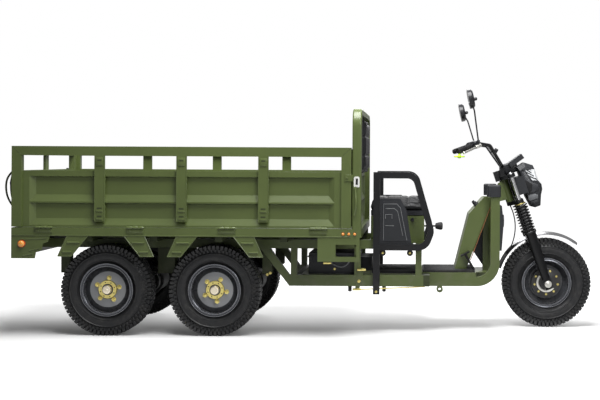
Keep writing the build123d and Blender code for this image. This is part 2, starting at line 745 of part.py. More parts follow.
def skirt_plates():
    """Plates under the sills beside the wheels, the window plates ahead and the tail panel with its wings."""
    y = (BED_HALF - SKIRT_T, BED_HALF)
    plates = []
    for x_axle in (X_AXLE_1, X_AXLE_2):
        for way in (-1, 1):
            plates += pair(skirt_plate(x_axle, way))
    x = (X_BED_FRONT - WINDOW_SETBACK - WINDOW_L, X_BED_FRONT - WINDOW_SETBACK)
    rear, front, low, high = WINDOW_FRAME
    window = block(x, y, (SILL_Z - WINDOW_H, SILL_Z))
    window -= block((x[0] + rear, x[1] - front), y, (SILL_Z - WINDOW_H + low, SILL_Z - high))
    plates += pair(window)
    tail = block((X_BED_REAR, X_BED_REAR + SKIRT_T), (-BED_HALF, BED_HALF), (SILL_Z - TAIL_DROP, SILL_Z))
    wing = side_plate([(X_BED_REAR + SKIRT_T + dx, SILL_Z - drop) for dx, drop in WING_STEPS], y)
    return plates + [tail] + pair(wing)


def lamp(x, z, radius, height):
    """A round lens on the left side face of the bed."""
    return cylinder_y(x, z, radius, (BED_HALF, BED_HALF + height))


def tailgate_latch(side):
    """Over-centre lever latch on the tailgate's outer face, near one end."""
    y = side * (TAILGATE_W / 2 - LATCH_INSET)
    base = block((X_BED_REAR - LATCH_BASE_T, X_BED_REAR), (y - LATCH_W / 2, y + LATCH_W / 2), LATCH_BASE_Z)
    outline = [(X_BED_REAR - dx, z) for dx, z in LATCH_LEVER]
    lever = side_plate(outline, (y - LATCH_W / 3, y + LATCH_W / 3))
    return base + lever


def guard():
    """Left side guard: upright tube with a D-shaped loop and two bolt ears."""
    y = (RAIL_OUT, RAIL_OUT + GUARD_TUBE)
    x = X_BED_FRONT + GUARD_X
    front = X_BED_FRONT + GUARD_REACH + GUARD_X
    top = GUARD_Z[1]
    post = block((x, x + GUARD_POST_L), y, GUARD_Z)
    low_back, nose_rise, top_back = GUARD_NOSE
    outline = Polyline((x, GUARD_LOW_Z), (front - low_back, GUARD_LOW_Z), (front, GUARD_LOW_Z + nose_rise),
                       (front - top_back, top), (x, top), close=True)
    face = make_face(outline)
    corners = face.vertices().sort_by(Axis.X)[-3:]
    outer = fillet(corners, GUARD_BEND_R)
    hole = offset(outer, -GUARD_TUBE)
    plane = Plane((0, y[0], 0), x_dir=(1, 0, 0), z_dir=(0, -1, 0))
    loop = extrude(plane * (outer - hole), -GUARD_TUBE)
    ears = [cylinder_y(x + dx, GUARD_LOW_Z - EAR_DROP, EAR_R, (y[0], y[0] + EAR_T)) for dx in EAR_X]
    return post + loop + ears[0] + ears[1]


def guard_panel():
    """Moulded panel in the rear of the left guard's loop."""
    x = X_BED_FRONT + GUARD_X + GUARD_POST_L
    low = GUARD_LOW_Z + GUARD_TUBE
    middle = RAIL_OUT + GUARD_TUBE / 2
    outline = [(x, low)] + [(x + dx, dz) for dx, dz in GUARD_PANEL_TOP] + [(x + GUARD_PANEL_L, low)]
    half = GUARD_PANEL_T / 2
    panel = side_plate(outline, (middle - half, middle + half))
    rib = [(x + GUARD_RIB, low + GUARD_RIB)]
    rib += [(x + dx * GUARD_RIB_SHARE + GUARD_RIB, dz - GUARD_RIB) for dx, dz in GUARD_PANEL_TOP]
    rib += [(x + GUARD_PANEL_L - GUARD_RIB, low + GUARD_RIB)]
    return panel + side_plate(rib, (middle + half, middle + half + GUARD_RIB_T))


def floor_loop():
    """Left floor tube that bends up into the front post, with the lashing tube under it."""
    mid_z = LOOP_Z + LOOP_H / 2
    path = FilletPolyline((X_CROSS + CROSS_W, LOOP_Y, mid_z), (X_POST, LOOP_Y, mid_z),
                          (X_POST, LOOP_Y, POST_TOP_Z), radius=LOOP_BEND_R)
    tube = sweep(Plane(path @ 0, x_dir=(0, 1, 0), z_dir=(1, 0, 0)) * Rectangle(LOOP_W, LOOP_H), path)
    x = X_CROSS + LASH_X
    y = (LOOP_Y - LASH_L / 2, LOOP_Y + LASH_L / 2)
    z = LOOP_Z - LASH_R
    tube += cylinder_y(x, z, LASH_R, y)
    tab_y = (LOOP_Y - LOOP_W / 2, LOOP_Y + LOOP_W / 2)
    tube += block((x - LASH_TAB_HALF, x + LASH_TAB_HALF), tab_y, (z, LOOP_Z))
    return tube - cylinder_y(x, z, LASH_BORE_R, y)


def floor_pan():
    """Footwell tray with turned-down edges and a tongue under the down tube."""
    edge = LOOP_Y + LOOP_W / 2
    x = (X_CROSS + CROSS_W, X_POST - LOOP_BEND_R - FLOOR_GAP)
    tray = block(x, (-edge, edge), (LOOP_TOP_Z, FLOOR_Z))
    tray -= block(x, (SHEET_T - edge, edge - SHEET_T), (LOOP_TOP_Z, FLOOR_Z - SHEET_T))
    inner = LOOP_Y - LOOP_W / 2 - TONGUE_GAP
    tongue = (x[1], X_FRONT - DOWN_TUBE_SETBACK + DOWN_TUBE_L / 2)
    tray += block(tongue, (-inner, inner), (FLOOR_Z - SHEET_T, FLOOR_Z))
    return tray + block((X_CROSS - FLOOR_BACK, x[0]), (-edge, edge), (FLOOR_Z - SHEET_T, FLOOR_Z))


def leg_shield():
    """Folded sheet in front of the driver's legs with two side flanges."""
    rear = X_POST - POST_TIE_L / 2
    # Rear edge from the mat to the post tops: (behind the posts' tie, height)
    top = POST_TOP_Z - POST_TIE_DROP
    knee_back, knee_z = SHIELD_KNEE
    edge = [(rear - SHIELD_REACH, MAT_TOP_Z), (rear - knee_back, knee_z), (rear - SHIELD_BROW, top)]
    flange = edge + [(rear, top), (rear, top - POST_TIE_H), (rear - SHIELD_REACH + SHIELD_DEPTH, MAT_TOP_Z)]
    front = [(x + SHEET_T, z) for x, z in reversed(edge)]
    sheet = side_plate(edge + front, (-SHIELD_HALF_W, SHIELD_HALF_W))
    for side in (-1, 1):
        sheet += side_plate(flange, sorted((side * SHIELD_HALF_W, side * (SHIELD_HALF_W - SHEET_T))))
    return sheet


def neck():
    """Down tube, neck box and head tube."""
    x = X_FRONT - DOWN_TUBE_SETBACK
    rear = x - DOWN_TUBE_L / 2
    y = (-DOWN_TUBE_W / 2, DOWN_TUBE_W / 2)
    tube = block((rear, x + DOWN_TUBE_L / 2), y, (FLOOR_Z, DOWN_TUBE_TOP_Z))
    low = LOWER_CLAMP_H + CLAMP_T + HEAD_GAP
    high = UPPER_CLAMP_H - HEAD_GAP
    head = FORK * Pos(-FORK_OFFSET, 0, (low + high) / 2) * Cylinder(HEAD_TUBE_R, high - low)
    top = (FORK * Pos(-FORK_OFFSET, 0, high - NECK_TOP_DROP)).position
    foot = (FORK * Pos(-FORK_OFFSET, 0, low + NECK_FOOT_RISE)).position
    back, drop = NECK_SHOULDER
    web = [(rear, NECK_REAR_Z[0]), (rear, NECK_REAR_Z[1]), (X_POST, POST_TOP_Z), (top.X - back, top.Z - drop),
           (top.X, top.Z), (foot.X, foot.Z)]
    body = tube + side_plate(web, y) + head
    bore = FORK * Pos(-FORK_OFFSET, 0, (low + high) / 2) * Cylinder(STEM_R + RUNNING_FIT, 2 * (high - low))
    return body - bore


def fork_clamp(height):
    """One fork yoke across both legs and the stem, in fork axes."""
    plan = Sketch() + [Pos(0, side * LEG_Y) * Circle(FORK_TUBE_R + CLAMP_WALL) for side in (-1, 1)]
    plan += Pos(-FORK_OFFSET, 0) * Circle(HEAD_TUBE_R)
    plate = extrude(Pos(0, 0, height) * make_hull(plan.edges()), CLAMP_T)
    for side in (-1, 1):
        plate -= Pos(0, side * LEG_Y, height + CLAMP_T / 2) * Cylinder(FORK_TUBE_R + RUNNING_FIT, 2 * CLAMP_T)
    return plate


def fork_clamps():
    """Both yokes on the steering stem."""
    low, high = LOWER_CLAMP_H, YOKE_TOP_H
    stem = Pos(-FORK_OFFSET, 0, (low + high) / 2) * Cylinder(STEM_R, high - low)
    lock_x = (-FORK_OFFSET - 2 * LOCK_L / 3, -FORK_OFFSET + LOCK_L / 3)
    lock = block(lock_x, (-LOCK_HALF_W, LOCK_HALF_W), (UPPER_CLAMP_H, high + LOCK_H))
    return FORK * (fork_clamp(LOWER_CLAMP_H) + fork_clamp(UPPER_CLAMP_H) + stem + lock)


def brake_cable(clamps, fender):
    """Front brake cable: one arc from under the lower yoke to the top of the fender."""
    start = (FORK * Pos(-FORK_OFFSET - HEAD_TUBE_R / 2, -CABLE_Y, LOWER_CLAMP_H + CLAMP_T / 2)).position
    foot_r = FENDER_R - FENDER_T
    end = Vector(X_FRONT - foot_r * cos(radians(CABLE_FOOT_DEG)), -CABLE_Y,
                 FRONT_TYRE_R + foot_r * sin(radians(CABLE_FOOT_DEG)))
    middle = (start + end) / 2 + Vector(CABLE_BULGE, 0, 0)
    cable = swept(ThreePointArc(start, middle, end), Circle(CABLE_R))
    return (cable - clamps - fender).solids().sort_by(SortBy.VOLUME)[-1]


def fork_tube(side):
    """Plated tube of one leg."""
    low, high = LEG_TOP - TUBE_SEAT, YOKE_TOP_H + TUBE_TIP
    return FORK * Pos(0, side * LEG_Y, (low + high) / 2) * Cylinder(FORK_TUBE_R, high - low)


def fork_spring(side):
    """Outside coil of one leg as a grooved sleeve, one groove a turn."""
    pitch = (SPRING_TOP - LEG_TOP) / SPRING_TURNS
    inner = FORK_TUBE_R + RUNNING_FIT
    root = FORK_SPRING_R - 2 * SPRING_WIRE_R
    points = [(inner, 0), (inner, SPRING_TURNS * pitch)]
    for turn in reversed(range(SPRING_TURNS)):
        points += [(root, (turn + 1) * pitch), (FORK_SPRING_R, (turn + 0.5) * pitch)]
    points.append((root, 0))
    coil = revolve(Rot(90, 0, 0) * make_face(Polyline(*points, close=True)), Axis.Z)
    return FORK * Pos(0, side * LEG_Y, LEG_TOP) * coil


def fork_leg(side):
    """Lower leg of one side with its axle lug and bore for the tube."""
    leg = Pos(0, 0, LEG_TOP / 2) * Cone(LEG_FOOT_R, LEG_R, LEG_TOP)
    leg += Box(2 * LEG_FOOT_R, AXLE_LUG_W, AXLE_LUG_H)
    pad_y = sorted((0, -side * (LEG_R + LEG_PAD)))
    pad_z = FENDER_R - FENDER_DROP
    pad_x = (-FENDER_TAB_L / 2, FENDER_TAB_L / 2)
    leg += block(pad_x, pad_y, (pad_z - 2 * FENDER_TAB_T, pad_z + FENDER_TAB_T))
    leg -= Pos(0, 0, LEG_TOP) * Cylinder(FORK_TUBE_R + RUNNING_FIT, 2 * TUBE_SEAT)
    leg -= Rot(90, 0, 0) * Cylinder(FRONT_AXLE_R + RUNNING_FIT, 4 * LEG_R)
    return FORK * Pos(0, side * LEG_Y, 0) * leg


def front_fender():
    """Crowned sheet mudguard about the front axle with a tab to each leg."""
    start = FENDER_FRONT_DEG
    rim = FENDER_R - FENDER_DROP
    outer = ThreePointArc((rim, -FENDER_HALF_W), (FENDER_R, 0), (rim, FENDER_HALF_W))
    inner = ThreePointArc((rim - FENDER_T, FENDER_HALF_W), (FENDER_R - FENDER_T, 0),
                          (rim - FENDER_T, -FENDER_HALF_W))
    outline = outer + Line(outer @ 1, inner @ 0) + inner + Line(inner @ 1, outer @ 0)
    face = Rot(0, -start, 0) * make_face(outline)
    sheet = revolve(face, Axis((0, 0, 0), (0, -1, 0)), FENDER_REAR_DEG - start)
    sheet = Pos(X_FRONT, 0, FRONT_TYRE_R) * sheet
    reach = (FENDER_HALF_W - FENDER_T, LEG_Y - LEG_R - LEG_PAD)
    for side in (-1, 1):
        tab_y = sorted((side * reach[0], side * reach[1]))
        sheet += FORK * block((-FENDER_TAB_L / 2, FENDER_TAB_L / 2), tab_y, (rim - FENDER_TAB_T, rim))
    return sheet


def below_yoke():
    """The space under the upper yoke's top face."""
    reach = 2 * LAMP_W
    return FORK * block((-reach, reach), (-reach, reach), (0, YOKE_TOP_H))


def handlebar():
    """Raised, swept-back bar with two risers on the upper yoke."""
    points = [(YOKE.X + dx, -y, YOKE.Z + dz) for dx, y, dz in reversed(BAR_HALF)]
    points += [(YOKE.X + dx, y, YOKE.Z + dz) for dx, y, dz in BAR_HALF]
    bar = swept(FilletPolyline(*points, radius=BAR_BEND_R), Circle(BAR_R))
    x = [YOKE.X + dx for dx in RISER_X]
    z = [YOKE.Z + dz for dz in RISER_Z]
    for side in (-1, 1):
        middle = side * RISER_Y
        bar += block(x, (middle - RISER_HALF_W, middle + RISER_HALF_W), z) - below_yoke()
    return bar, points


def grip(inner, outer):
    """Rubber sleeve on the end of the bar."""
    end, start = Vector(*outer), Vector(*inner)
    along = (start - end).normalized()
    sleeve = extrude(Plane(end - along * GRIP_END_T, z_dir=along) * Circle(GRIP_R), GRIP_L)
    return sleeve - extrude(Plane(end, z_dir=along) * Circle(BAR_R + RUNNING_FIT), GRIP_L)


def mirror_head(base, side):
    """Rear-view mirror on a bent stem; base is where the stem stands on the bar."""
    reach = MIRROR_HEADS[side]
    head = base + Vector(*reach)
    elbow = base + Vector(*[length * share for length, share in zip(reach, MIRROR_ELBOW)])
    stem = swept(FilletPolyline(base, elbow, head, radius=STEM_BEND_R), Circle(STEM_WIRE_R))
    face = Plane((0, 0, 0), x_dir=(0, 1, 0), z_dir=(1, 0, 0)) * Ellipse(MIRROR_W / 2, MIRROR_H / 2)
    shell = extrude(face, MIRROR_T / 2, both=True)
    shell = chamfer(shell.edges().group_by(Axis.X)[-1], MIRROR_T / 3)
    return stem + Pos(head) * Rot(0, -MIRROR_TILT, 0) * shell


def splash_panel():
    """Black panel across the front of the posts, with a round horn on it."""
    x = X_POST + LOOP_H / 2
    half = LOOP_Y + LOOP_W / 2
    low, high = SPLASH_Z
    lip = SHEET_T + SPLASH_LIP
    outline = [(x, low), (x, high), (x + lip, high), (x + SPLASH_BULGE, HORN_Z), (x + lip, low)]
    panel = side_plate(outline, (-half, half))
    hollow = [(x, low + SPLASH_LIP), (x, high - SPLASH_LIP), (x + lip - SHEET_T, high - SPLASH_LIP),
              (x + SPLASH_BULGE - SHEET_T, HORN_Z), (x + lip - SHEET_T, low + SPLASH_LIP)]
    panel -= side_plate(hollow, (LOOP_W - half, half - LOOP_W))
    horn = Pos(x + SPLASH_BULGE + HORN_STANDOFF, 0, HORN_Z) * Rot(0, 90, 0) * Cylinder(HORN_R, HORN_L)
    return panel + horn


def post_cap():
    """Moulded cap on the left front post."""
    x = X_POST - CAP_SETBACK
    body = block((x - CAP_L / 2, x + CAP_L / 2), (LOOP_Y - CAP_HALF_W, LOOP_Y + CAP_HALF_W),
                 (POST_TOP_Z, POST_TOP_Z + CAP_H))
    return fillet(body.edges().filter_by(Axis.Z) + body.edges().group_by(Axis.Z)[-1], CAP_EDGE_R)


def post_tie():
    """Tube from the left post to the neck."""
    top = POST_TOP_Z - POST_TIE_DROP
    return block((X_POST - POST_TIE_L / 2, X_POST + POST_TIE_L / 2), (DOWN_TUBE_W / 2, LOOP_Y - LOOP_W / 2),
                 (top - POST_TIE_H, top))


def seat_parts():
    """Seat box, its hinged pan and cushion."""
    x = (X_BED_FRONT + SEAT_REAR, X_SEAT_FRONT)
    y = (-SEAT_W / 2, SEAT_W / 2)
    box = block(x, y, SEAT_BOX_Z)
    box -= block((x[0] + SHEET_T, x[1] - SHEET_T), (y[0] + SHEET_T, y[1] - SHEET_T),
                 (SEAT_BOX_Z[0] + SHEET_T, SEAT_BOX_Z[1]))
    low = SEAT_BOX_Z[1] + BOARD_GAP
    pan = block(x, y, (low, low + SEAT_PAN_T))
    cushion = block((x[0] - CUSHION_BACK, x[1] + CUSHION_FRONT), y,
                    (low + SEAT_PAN_T, low + SEAT_PAN_T + CUSHION_H))
    rounds = cushion.edges().filter_by(Axis.Z) + cushion.edges().group_by(Axis.Z)[-1]
    cushion = fillet(rounds, CUSHION_EDGE_R)
    return box, pan, cushion


def seat_hinge(moving):
    """Front hinge of the seat: two knuckles on the box and one on the pan."""
    x = X_SEAT_FRONT + HINGE_R
    z = SEAT_BOX_Z[1] + BOARD_GAP / 2
    shape = None
    for u, length, moves in knuckles():
        if moves != moving:
            continue
        y = (u - length / 2, u + length / 2)
        barrel = cylinder_y(x, z, HINGE_R, y)
        tall = HINGE_R + SEAT_STRAP_H
        strap_z = (z, z + tall) if moving else (z - tall, z)
        strap = block((X_SEAT_FRONT, X_SEAT_FRONT + HINGE_LEAF_T), y, strap_z)
        strap += block((X_SEAT_FRONT, x), y, (z - SEAT_STRAP_T / 2, z + SEAT_STRAP_T / 2))
        shape = barrel + strap if shape is None else shape + barrel + strap
    return shape


def headlamp():
    """Faceted headlamp shell with ears to the fork tubes, its lens and the display above."""
    (mid_x, mid_z), (taper_x, taper_z) = LAMP_MIDDLE, LAMP_TAPER
    middle = [(YOKE.X + dx, YOKE.Z + dz) for dx, dz in LAMP_OUTLINE]
    flank = [(YOKE.X + mid_x + (dx - mid_x) * taper_x, YOKE.Z + mid_z + (dz - mid_z) * taper_z)
             for dx, dz in LAMP_OUTLINE]
    shell = side_plate(middle, (-LAMP_HALF_W, LAMP_HALF_W))
    for side in (-1, 1):
        ends = ((middle, side * LAMP_HALF_W), (flank, side * LAMP_FLANK_Y))
        shell += loft([make_face(Polyline(*[(x, y, z) for x, z in line], close=True)) for line, y in ends])
    glass = side_plate([(YOKE.X + dx, YOKE.Z + dz) for dx, dz in LENS_OUTLINE], (-LAMP_W / 2, LAMP_W / 2))
    lens = glass & shell
    shell = shell - glass
    ear_z = (UPPER_CLAMP_H - LAMP_EAR_H, UPPER_CLAMP_H - CLAMP_T / 2)
    for side in (-1, 1):
        ear_y = sorted((side * LAMP_EAR_Y, side * (LEG_Y - FORK_TUBE_R - RUNNING_FIT)))
        shell += FORK * block((-FORK_TUBE_R, LAMP_EAR_L), ear_y, ear_z)
    slab_x, slab_z = DISPLAY_AT
    slab = Pos(YOKE.X + slab_x, 0, YOKE.Z + slab_z) * Rot(0, -DISPLAY_TILT, 0) * Box(*DISPLAY_SIZE)
    stalk = block([YOKE.X + dx for dx in STALK_X], (-STALK_HALF_W, STALK_HALF_W),
                  [YOKE.Z + dz for dz in STALK_Z])
    display = slab + (stalk - below_yoke())
    return shell, lens, display


def driver_controls():
    """Brake pedal on the floor and the parking lever beside the seat box."""
    foot = X_POST - LOOP_BEND_R - PEDAL_SETBACK
    y = -(SHIELD_HALF_W + LOOP_Y) / 2 - PEDAL_INSET
    arm = extrude(Plane((foot, y, MAT_TOP_Z), z_dir=PEDAL_WAY) * Circle(PEDAL_ARM_R), PEDAL_ARM_L)
    arm -= Pos(foot, y, MAT_TOP_Z - PEDAL_ARM_L / 2) * Box(PEDAL_ARM_L, PEDAL_ARM_L, PEDAL_ARM_L)
    dx, dz = PEDAL_AT
    pedal = arm + Pos(foot + dx, y, MAT_TOP_Z + dz) * Rot(0, -PEDAL_TILT, 0) * Box(*PEDAL_SIZE)
    lever = Pos(X_SEAT_FRONT + LEVER_L / 2, 0, LEVER_Z) * Rot(0, 90, 0) * Cylinder(LEVER_R, LEVER_L)
    knob_x = X_SEAT_FRONT + LEVER_L + KNOB_L / 2 - KNOB_LAP
    lever += Pos(knob_x, 0, LEVER_Z) * Rot(0, 90, 0) * Cone(*KNOB_R, KNOB_L)
    return pedal, Pos(0, LEVER_Y - SEAT_W / 2, 0) * lever


def hand_controls(inner, outer):
    """Switch pod and brake lever inboard of one grip."""
    end, start = Vector(*outer), Vector(*inner)
    along = (start - end).normalized()
    wide, tall, deep = POD_SIZE
    pod_plane = Plane(end + along * (GRIP_L + POD_GAP), z_dir=along)
    pod = extrude(pod_plane * RectangleRounded(wide, tall, POD_EDGE_R), deep)
    pod -= extrude(Plane(end, z_dir=along) * Circle(BAR_R + RUNNING_FIT), 2 * GRIP_L)
    ahead = (Vector(1, 0, 0) - along * along.X).normalized()
    root, tip = [end + along * far + ahead * out for far, out in (LEVER_ROOT, LEVER_TIP)]
    blade = extrude(Plane(tip, z_dir=(root - tip).normalized()) * Circle(LEVER_BLADE_R), (root - tip).length)
    neck_bar = extrude(Plane(root, z_dir=ahead * -1) * Circle(LEVER_NECK_R), LEVER_NECK_L)
    return pod + blade + neck_bar


def power_boxes():
    """Battery box with a lid lip, standing on the lower cross tubes, and the controller on its front."""
    front = X_BED_FRONT - BATTERY_SETBACK
    x = (front - BATTERY_L, front)
    y = (-BATTERY_HALF_W, BATTERY_HALF_W)
    battery = block(x, y, (LOWER_RAIL_TOP, BATTERY_TOP_Z))
    battery += block((x[0] - BATTERY_LIP, x[1] + BATTERY_LIP), (y[0] - BATTERY_LIP, y[1] + BATTERY_LIP),
                     (BATTERY_LIP_Z, BATTERY_LIP_Z + BATTERY_LIP_H))
    controller = block((front, front + CONTROLLER_L), (-CONTROLLER_HALF_W, CONTROLLER_HALF_W), CONTROLLER_Z)
    return battery, controller


os.makedirs("parts", exist_ok=True)

save("frame_rails", *frame_rails())
save("frame_struts", *frame_struts(), *pair(post_tie()))
save("cross_members", *cross_members())

springs = []
hangers = []
for axle_x in (X_AXLE_1, X_AXLE_2):
    pack, eye_z = spring_pack(axle_x)
    springs += pair(pack)
rear_eye = X_AXLE_1 - SPRING_HALF
front_eye = X_AXLE_2 + SPRING_HALF
mid_eyes = (X_AXLE_1 + SPRING_HALF, X_AXLE_2 - SPRING_HALF)
hangers += pair(spring_hanger([rear_eye], (rear_eye - HANGER_W / 2, rear_eye + HANGER_W / 2), eye_z))
hangers += pair(spring_hanger(mid_eyes, (mid_eyes[0] - 1.5 * EYE_R, mid_eyes[1] + 1.5 * EYE_R), eye_z))
hangers += pair(kick_hanger(front_eye, eye_z))
save("leaf_springs", *springs)
save("spring_hangers", *hangers)
save("axle_housings", axle_housing(X_AXLE_1), axle_housing(X_AXLE_2))
save("drive_motors", drive_motor(X_AXLE_1), drive_motor(X_AXLE_2))

floor_z = (SILL_TOP_Z - FLOOR_T, SILL_TOP_Z)
floor_x = (X_BED_REAR + SILL_W, X_ARCH)
bed_inside = (SILL_W - BED_HALF, BED_HALF - SILL_W)
bed_floor = block(floor_x, bed_inside, floor_z)
save("bed_floor", bed_floor)
bearer_step = (floor_x[1] - floor_x[0] - BEARER_W) / (BEARER_COUNT - 1)
bearers = []
for index in range(BEARER_COUNT):
    x = floor_x[0] + index * bearer_step
    bearers.append(block((x, x + BEARER_W), bed_inside, (UPPER_RAIL_TOP, floor_z[0])))
save("bed_bearers", *bearers)
side_sill = block((X_BED_REAR, X_BED_FRONT), (BED_HALF - SILL_W, BED_HALF), (SILL_Z, SILL_TOP_Z))
rear_sill = block((X_BED_REAR, X_BED_REAR + SILL_W), bed_inside, (SILL_Z, SILL_TOP_Z))
front_sill = block((X_ARCH, X_BED_FRONT), bed_inside, (SILL_Z, SILL_TOP_Z))
save("bed_sills", pair(side_sill)[0] + pair(side_sill)[1] + rear_sill + front_sill)

side_frame, side_panel = board(BOARD_LENGTH, spread(3, STAKE_PITCH), spread(4, HINGE_PITCH))
tail_frame, tail_panel = board(TAILGATE_W, [0], spread(3, TAIL_HINGE_PITCH))
right_place = Pos(BOARD_MID_X, -BED_HALF, 0)
left_place = Pos(BOARD_MID_X, BED_HALF, 0) * Rot(0, 0, 180)
tail_place = Pos(X_BED_REAR, 0, 0) * Rot(0, 0, -90)
save("right_board_frame", right_place * side_frame)
save("right_board_panel", right_place * side_panel)
save("left_board_frame", left_place * side_frame)
save("left_board_panel", left_place * side_panel)
save("tailgate_frame", tail_place * tail_frame)
save("tailgate_panel", tail_place * tail_panel)
save("tailgate_latches", tailgate_latch(-1), tailgate_latch(1))
hinges = [tail_place * Pos(u, 0, 0) * fixed_hinge() for u in spread(3, TAIL_HINGE_PITCH)]
for place in (right_place, left_place):
    hinges += [place * Pos(u, 0, 0) * fixed_hinge() for u in spread(4, HINGE_PITCH)]
save("bed_hinges", *hinges)
save("headboard", headboard())
cushion_x = (X_ARCH + PANEL_T, X_ARCH + PANEL_T + BACK_CUSHION_T)
save("back_cushion", block(cushion_x, (-BACK_CUSHION_W / 2, BACK_CUSHION_W / 2), BACK_CUSHION_Z))
save("skirt_plates", *skirt_plates())
markers = [lamp(X_BED_FRONT - dx, SILL_Z + MARKER_RISE, MARKER_R, MARKER_L) for dx in MARKER_SETBACKS]
markers.append(lamp(X_BED_REAR + REAR_MARKER_X, SILL_Z - REAR_MARKER_DROP, REAR_MARKER_R, REAR_MARKER_L))
save("marker_lamps", *[solid for shape in markers for solid in pair(shape)])
tail_lamp_z = [SILL_Z - drop for drop in TAIL_LAMP_DROP]
tail_lamp = block((X_BED_REAR - TAIL_LAMP_T, X_BED_REAR), TAIL_LAMP_Y, tail_lamp_z)
save("tail_lamps", *pair(tail_lamp))

save("guard_frames", *pair(guard()))
save("guard_panels", *pair(guard_panel()))
save("floor_loops", *pair(floor_loop()))
save("post_caps", *pair(post_cap()))
save("floor_pan", floor_pan())
mat_half = LOOP_Y + LOOP_W / 2 - MAT_INSET
mat_x = (X_CROSS - FLOOR_BACK + MAT_EDGE, X_POST - LOOP_BEND_R - MAT_FRONT_GAP)
save("floor_mat", block(mat_x, (-mat_half, mat_half), (FLOOR_Z, MAT_TOP_Z)))
save("leg_shield", leg_shield())
save("splash_panel", splash_panel())
save("neck", neck())
seat_box, seat_pan, seat_cushion = seat_parts()
save("seat_box", seat_box + seat_hinge(False))
save("seat_pan", seat_pan + seat_hinge(True))
save("seat_cushion", seat_cushion)
save("power_boxes", *power_boxes())
save("driver_controls", *driver_controls())

save("fork_tubes", fork_tube(-1), fork_tube(1))
save("fork_springs", fork_spring(-1), fork_spring(1))
axle = cylinder_y(X_FRONT, FRONT_TYRE_R, FRONT_AXLE_R, (-LEG_Y - LEG_R, LEG_Y + LEG_R))
save("fork_legs", fork_leg(-1), fork_leg(1))
save("front_axle", axle)
bar, bar_points = handlebar()
clamps = fork_clamps()
fender = front_fender()
save("fork_clamps", clamps)
save("front_fender", fender)
save("handlebar", bar)
save("hand_grips", grip(*bar_points[1::-1]), grip(*bar_points[-2:]))
controls = [hand_controls(*ends) for ends in (bar_points[1::-1], bar_points[-2:])]
save("hand_controls", *controls, brake_cable(clamps, fender))
heads = []
for side, bend in ((-1, bar_points[1]), (1, bar_points[-2])):
    heads.append(mirror_head(Vector(*bend) + Vector(0, 0, BAR_R), side))
save("mirrors", *heads)
shell, lens, display = headlamp()
save("headlamp_shell", shell)
save("headlamp_lens", lens)
save("display", display)

front_place = Pos(X_FRONT, 0, FRONT_TYRE_R)
front_hub = turned(hub_section(FRONT_AXLE_R + RUNNING_FIT, True))
save("front_tyre", front_place * tyre(FRONT_TYRE_R))
save("front_wheel", front_place * (turned(rim_section()) + front_hub))
rear_tyre = tyre(REAR_TYRE_R)
for axle_name, axle_x in (("rear", X_AXLE_1), ("middle", X_AXLE_2)):
    for side_name, side in (("right", -1), ("left", 1)):
        corner = Pos(axle_x, side * WHEEL_Y, REAR_TYRE_R)
        save(f"{axle_name}_{side_name}_tyre", corner * rear_tyre)
        save(f"{axle_name}_{side_name}_wheel", corner * rear_wheel(side))
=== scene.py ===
"""Finishes, fittings and studio of the electric cargo tricycle, laid out as a Blender add-on."""
import json
from math import cos, pi, radians, sin

import bmesh
import bpy
from bpy.props import FloatProperty, FloatVectorProperty, IntProperty, PointerProperty
from mathutils import Matrix, Vector


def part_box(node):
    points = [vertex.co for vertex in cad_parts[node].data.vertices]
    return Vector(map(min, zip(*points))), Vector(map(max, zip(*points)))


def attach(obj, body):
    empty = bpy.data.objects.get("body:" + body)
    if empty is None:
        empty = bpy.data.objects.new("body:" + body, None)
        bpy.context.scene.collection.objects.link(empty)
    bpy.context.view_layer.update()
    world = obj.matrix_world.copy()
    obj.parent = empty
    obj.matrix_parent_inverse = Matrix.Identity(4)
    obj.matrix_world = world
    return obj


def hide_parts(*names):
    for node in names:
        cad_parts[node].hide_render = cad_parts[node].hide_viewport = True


bl_info = {
    "name": "Cargo Tricycle Dressing",
    "version": (1, 0, 0),
    "blender": (4, 5, 0),
    "location": "View3D > Sidebar > Tricycle",
    "description": "Paint, rubber, trim and studio around the packed cargo tricycle",
    "category": "Object",
}

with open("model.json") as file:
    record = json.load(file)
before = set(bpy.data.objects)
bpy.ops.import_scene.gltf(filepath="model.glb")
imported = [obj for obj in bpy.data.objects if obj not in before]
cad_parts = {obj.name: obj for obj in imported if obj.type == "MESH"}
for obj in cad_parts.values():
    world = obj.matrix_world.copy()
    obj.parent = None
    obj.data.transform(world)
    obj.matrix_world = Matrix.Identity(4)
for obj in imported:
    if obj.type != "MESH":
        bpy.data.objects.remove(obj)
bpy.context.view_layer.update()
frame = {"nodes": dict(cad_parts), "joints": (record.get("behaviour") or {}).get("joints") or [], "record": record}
NODES = frame["nodes"]
JOINTS = {joint["name"]: joint for joint in frame["joints"]}
SIDES = {"right": -1, "left": 1}
BOTH = tuple(SIDES.values())
CORNERS = [(f"{axle}_{side}", SIDES[side]) for axle in ("rear", "middle") for side in SIDES]
FINISHES = {}

# Places that fittings share, in metres; a Y is the distance from the middle plane
FORK_AXIS = Vector(JOINTS["steer"]["axis"])
FRONT_AXLE = Vector(JOINTS["front_wheel_spin"]["pos_m"])
AXLES = [JOINTS[axle + "_left_wheel_spin"]["pos_m"][0] for axle in ("rear", "middle")]
WHEEL_Y = JOINTS["rear_left_wheel_spin"]["pos_m"][1]
HINGE_Z = JOINTS["left_board_drop"]["pos_m"][2]
FORK_LEG_Y = 0.118
BED_FACE = 0.625
TAIL_FACE = -1.819
SILL_FOOT = 0.629
SKIRT_FOOT = 0.505
RAIL_Y = 0.33
RAIL_FACE = 0.352
BATTERY_FACE = 0.2945
GUARD_FACE = 0.3822
CAMERA = (0.69, -7.566, 1.116)


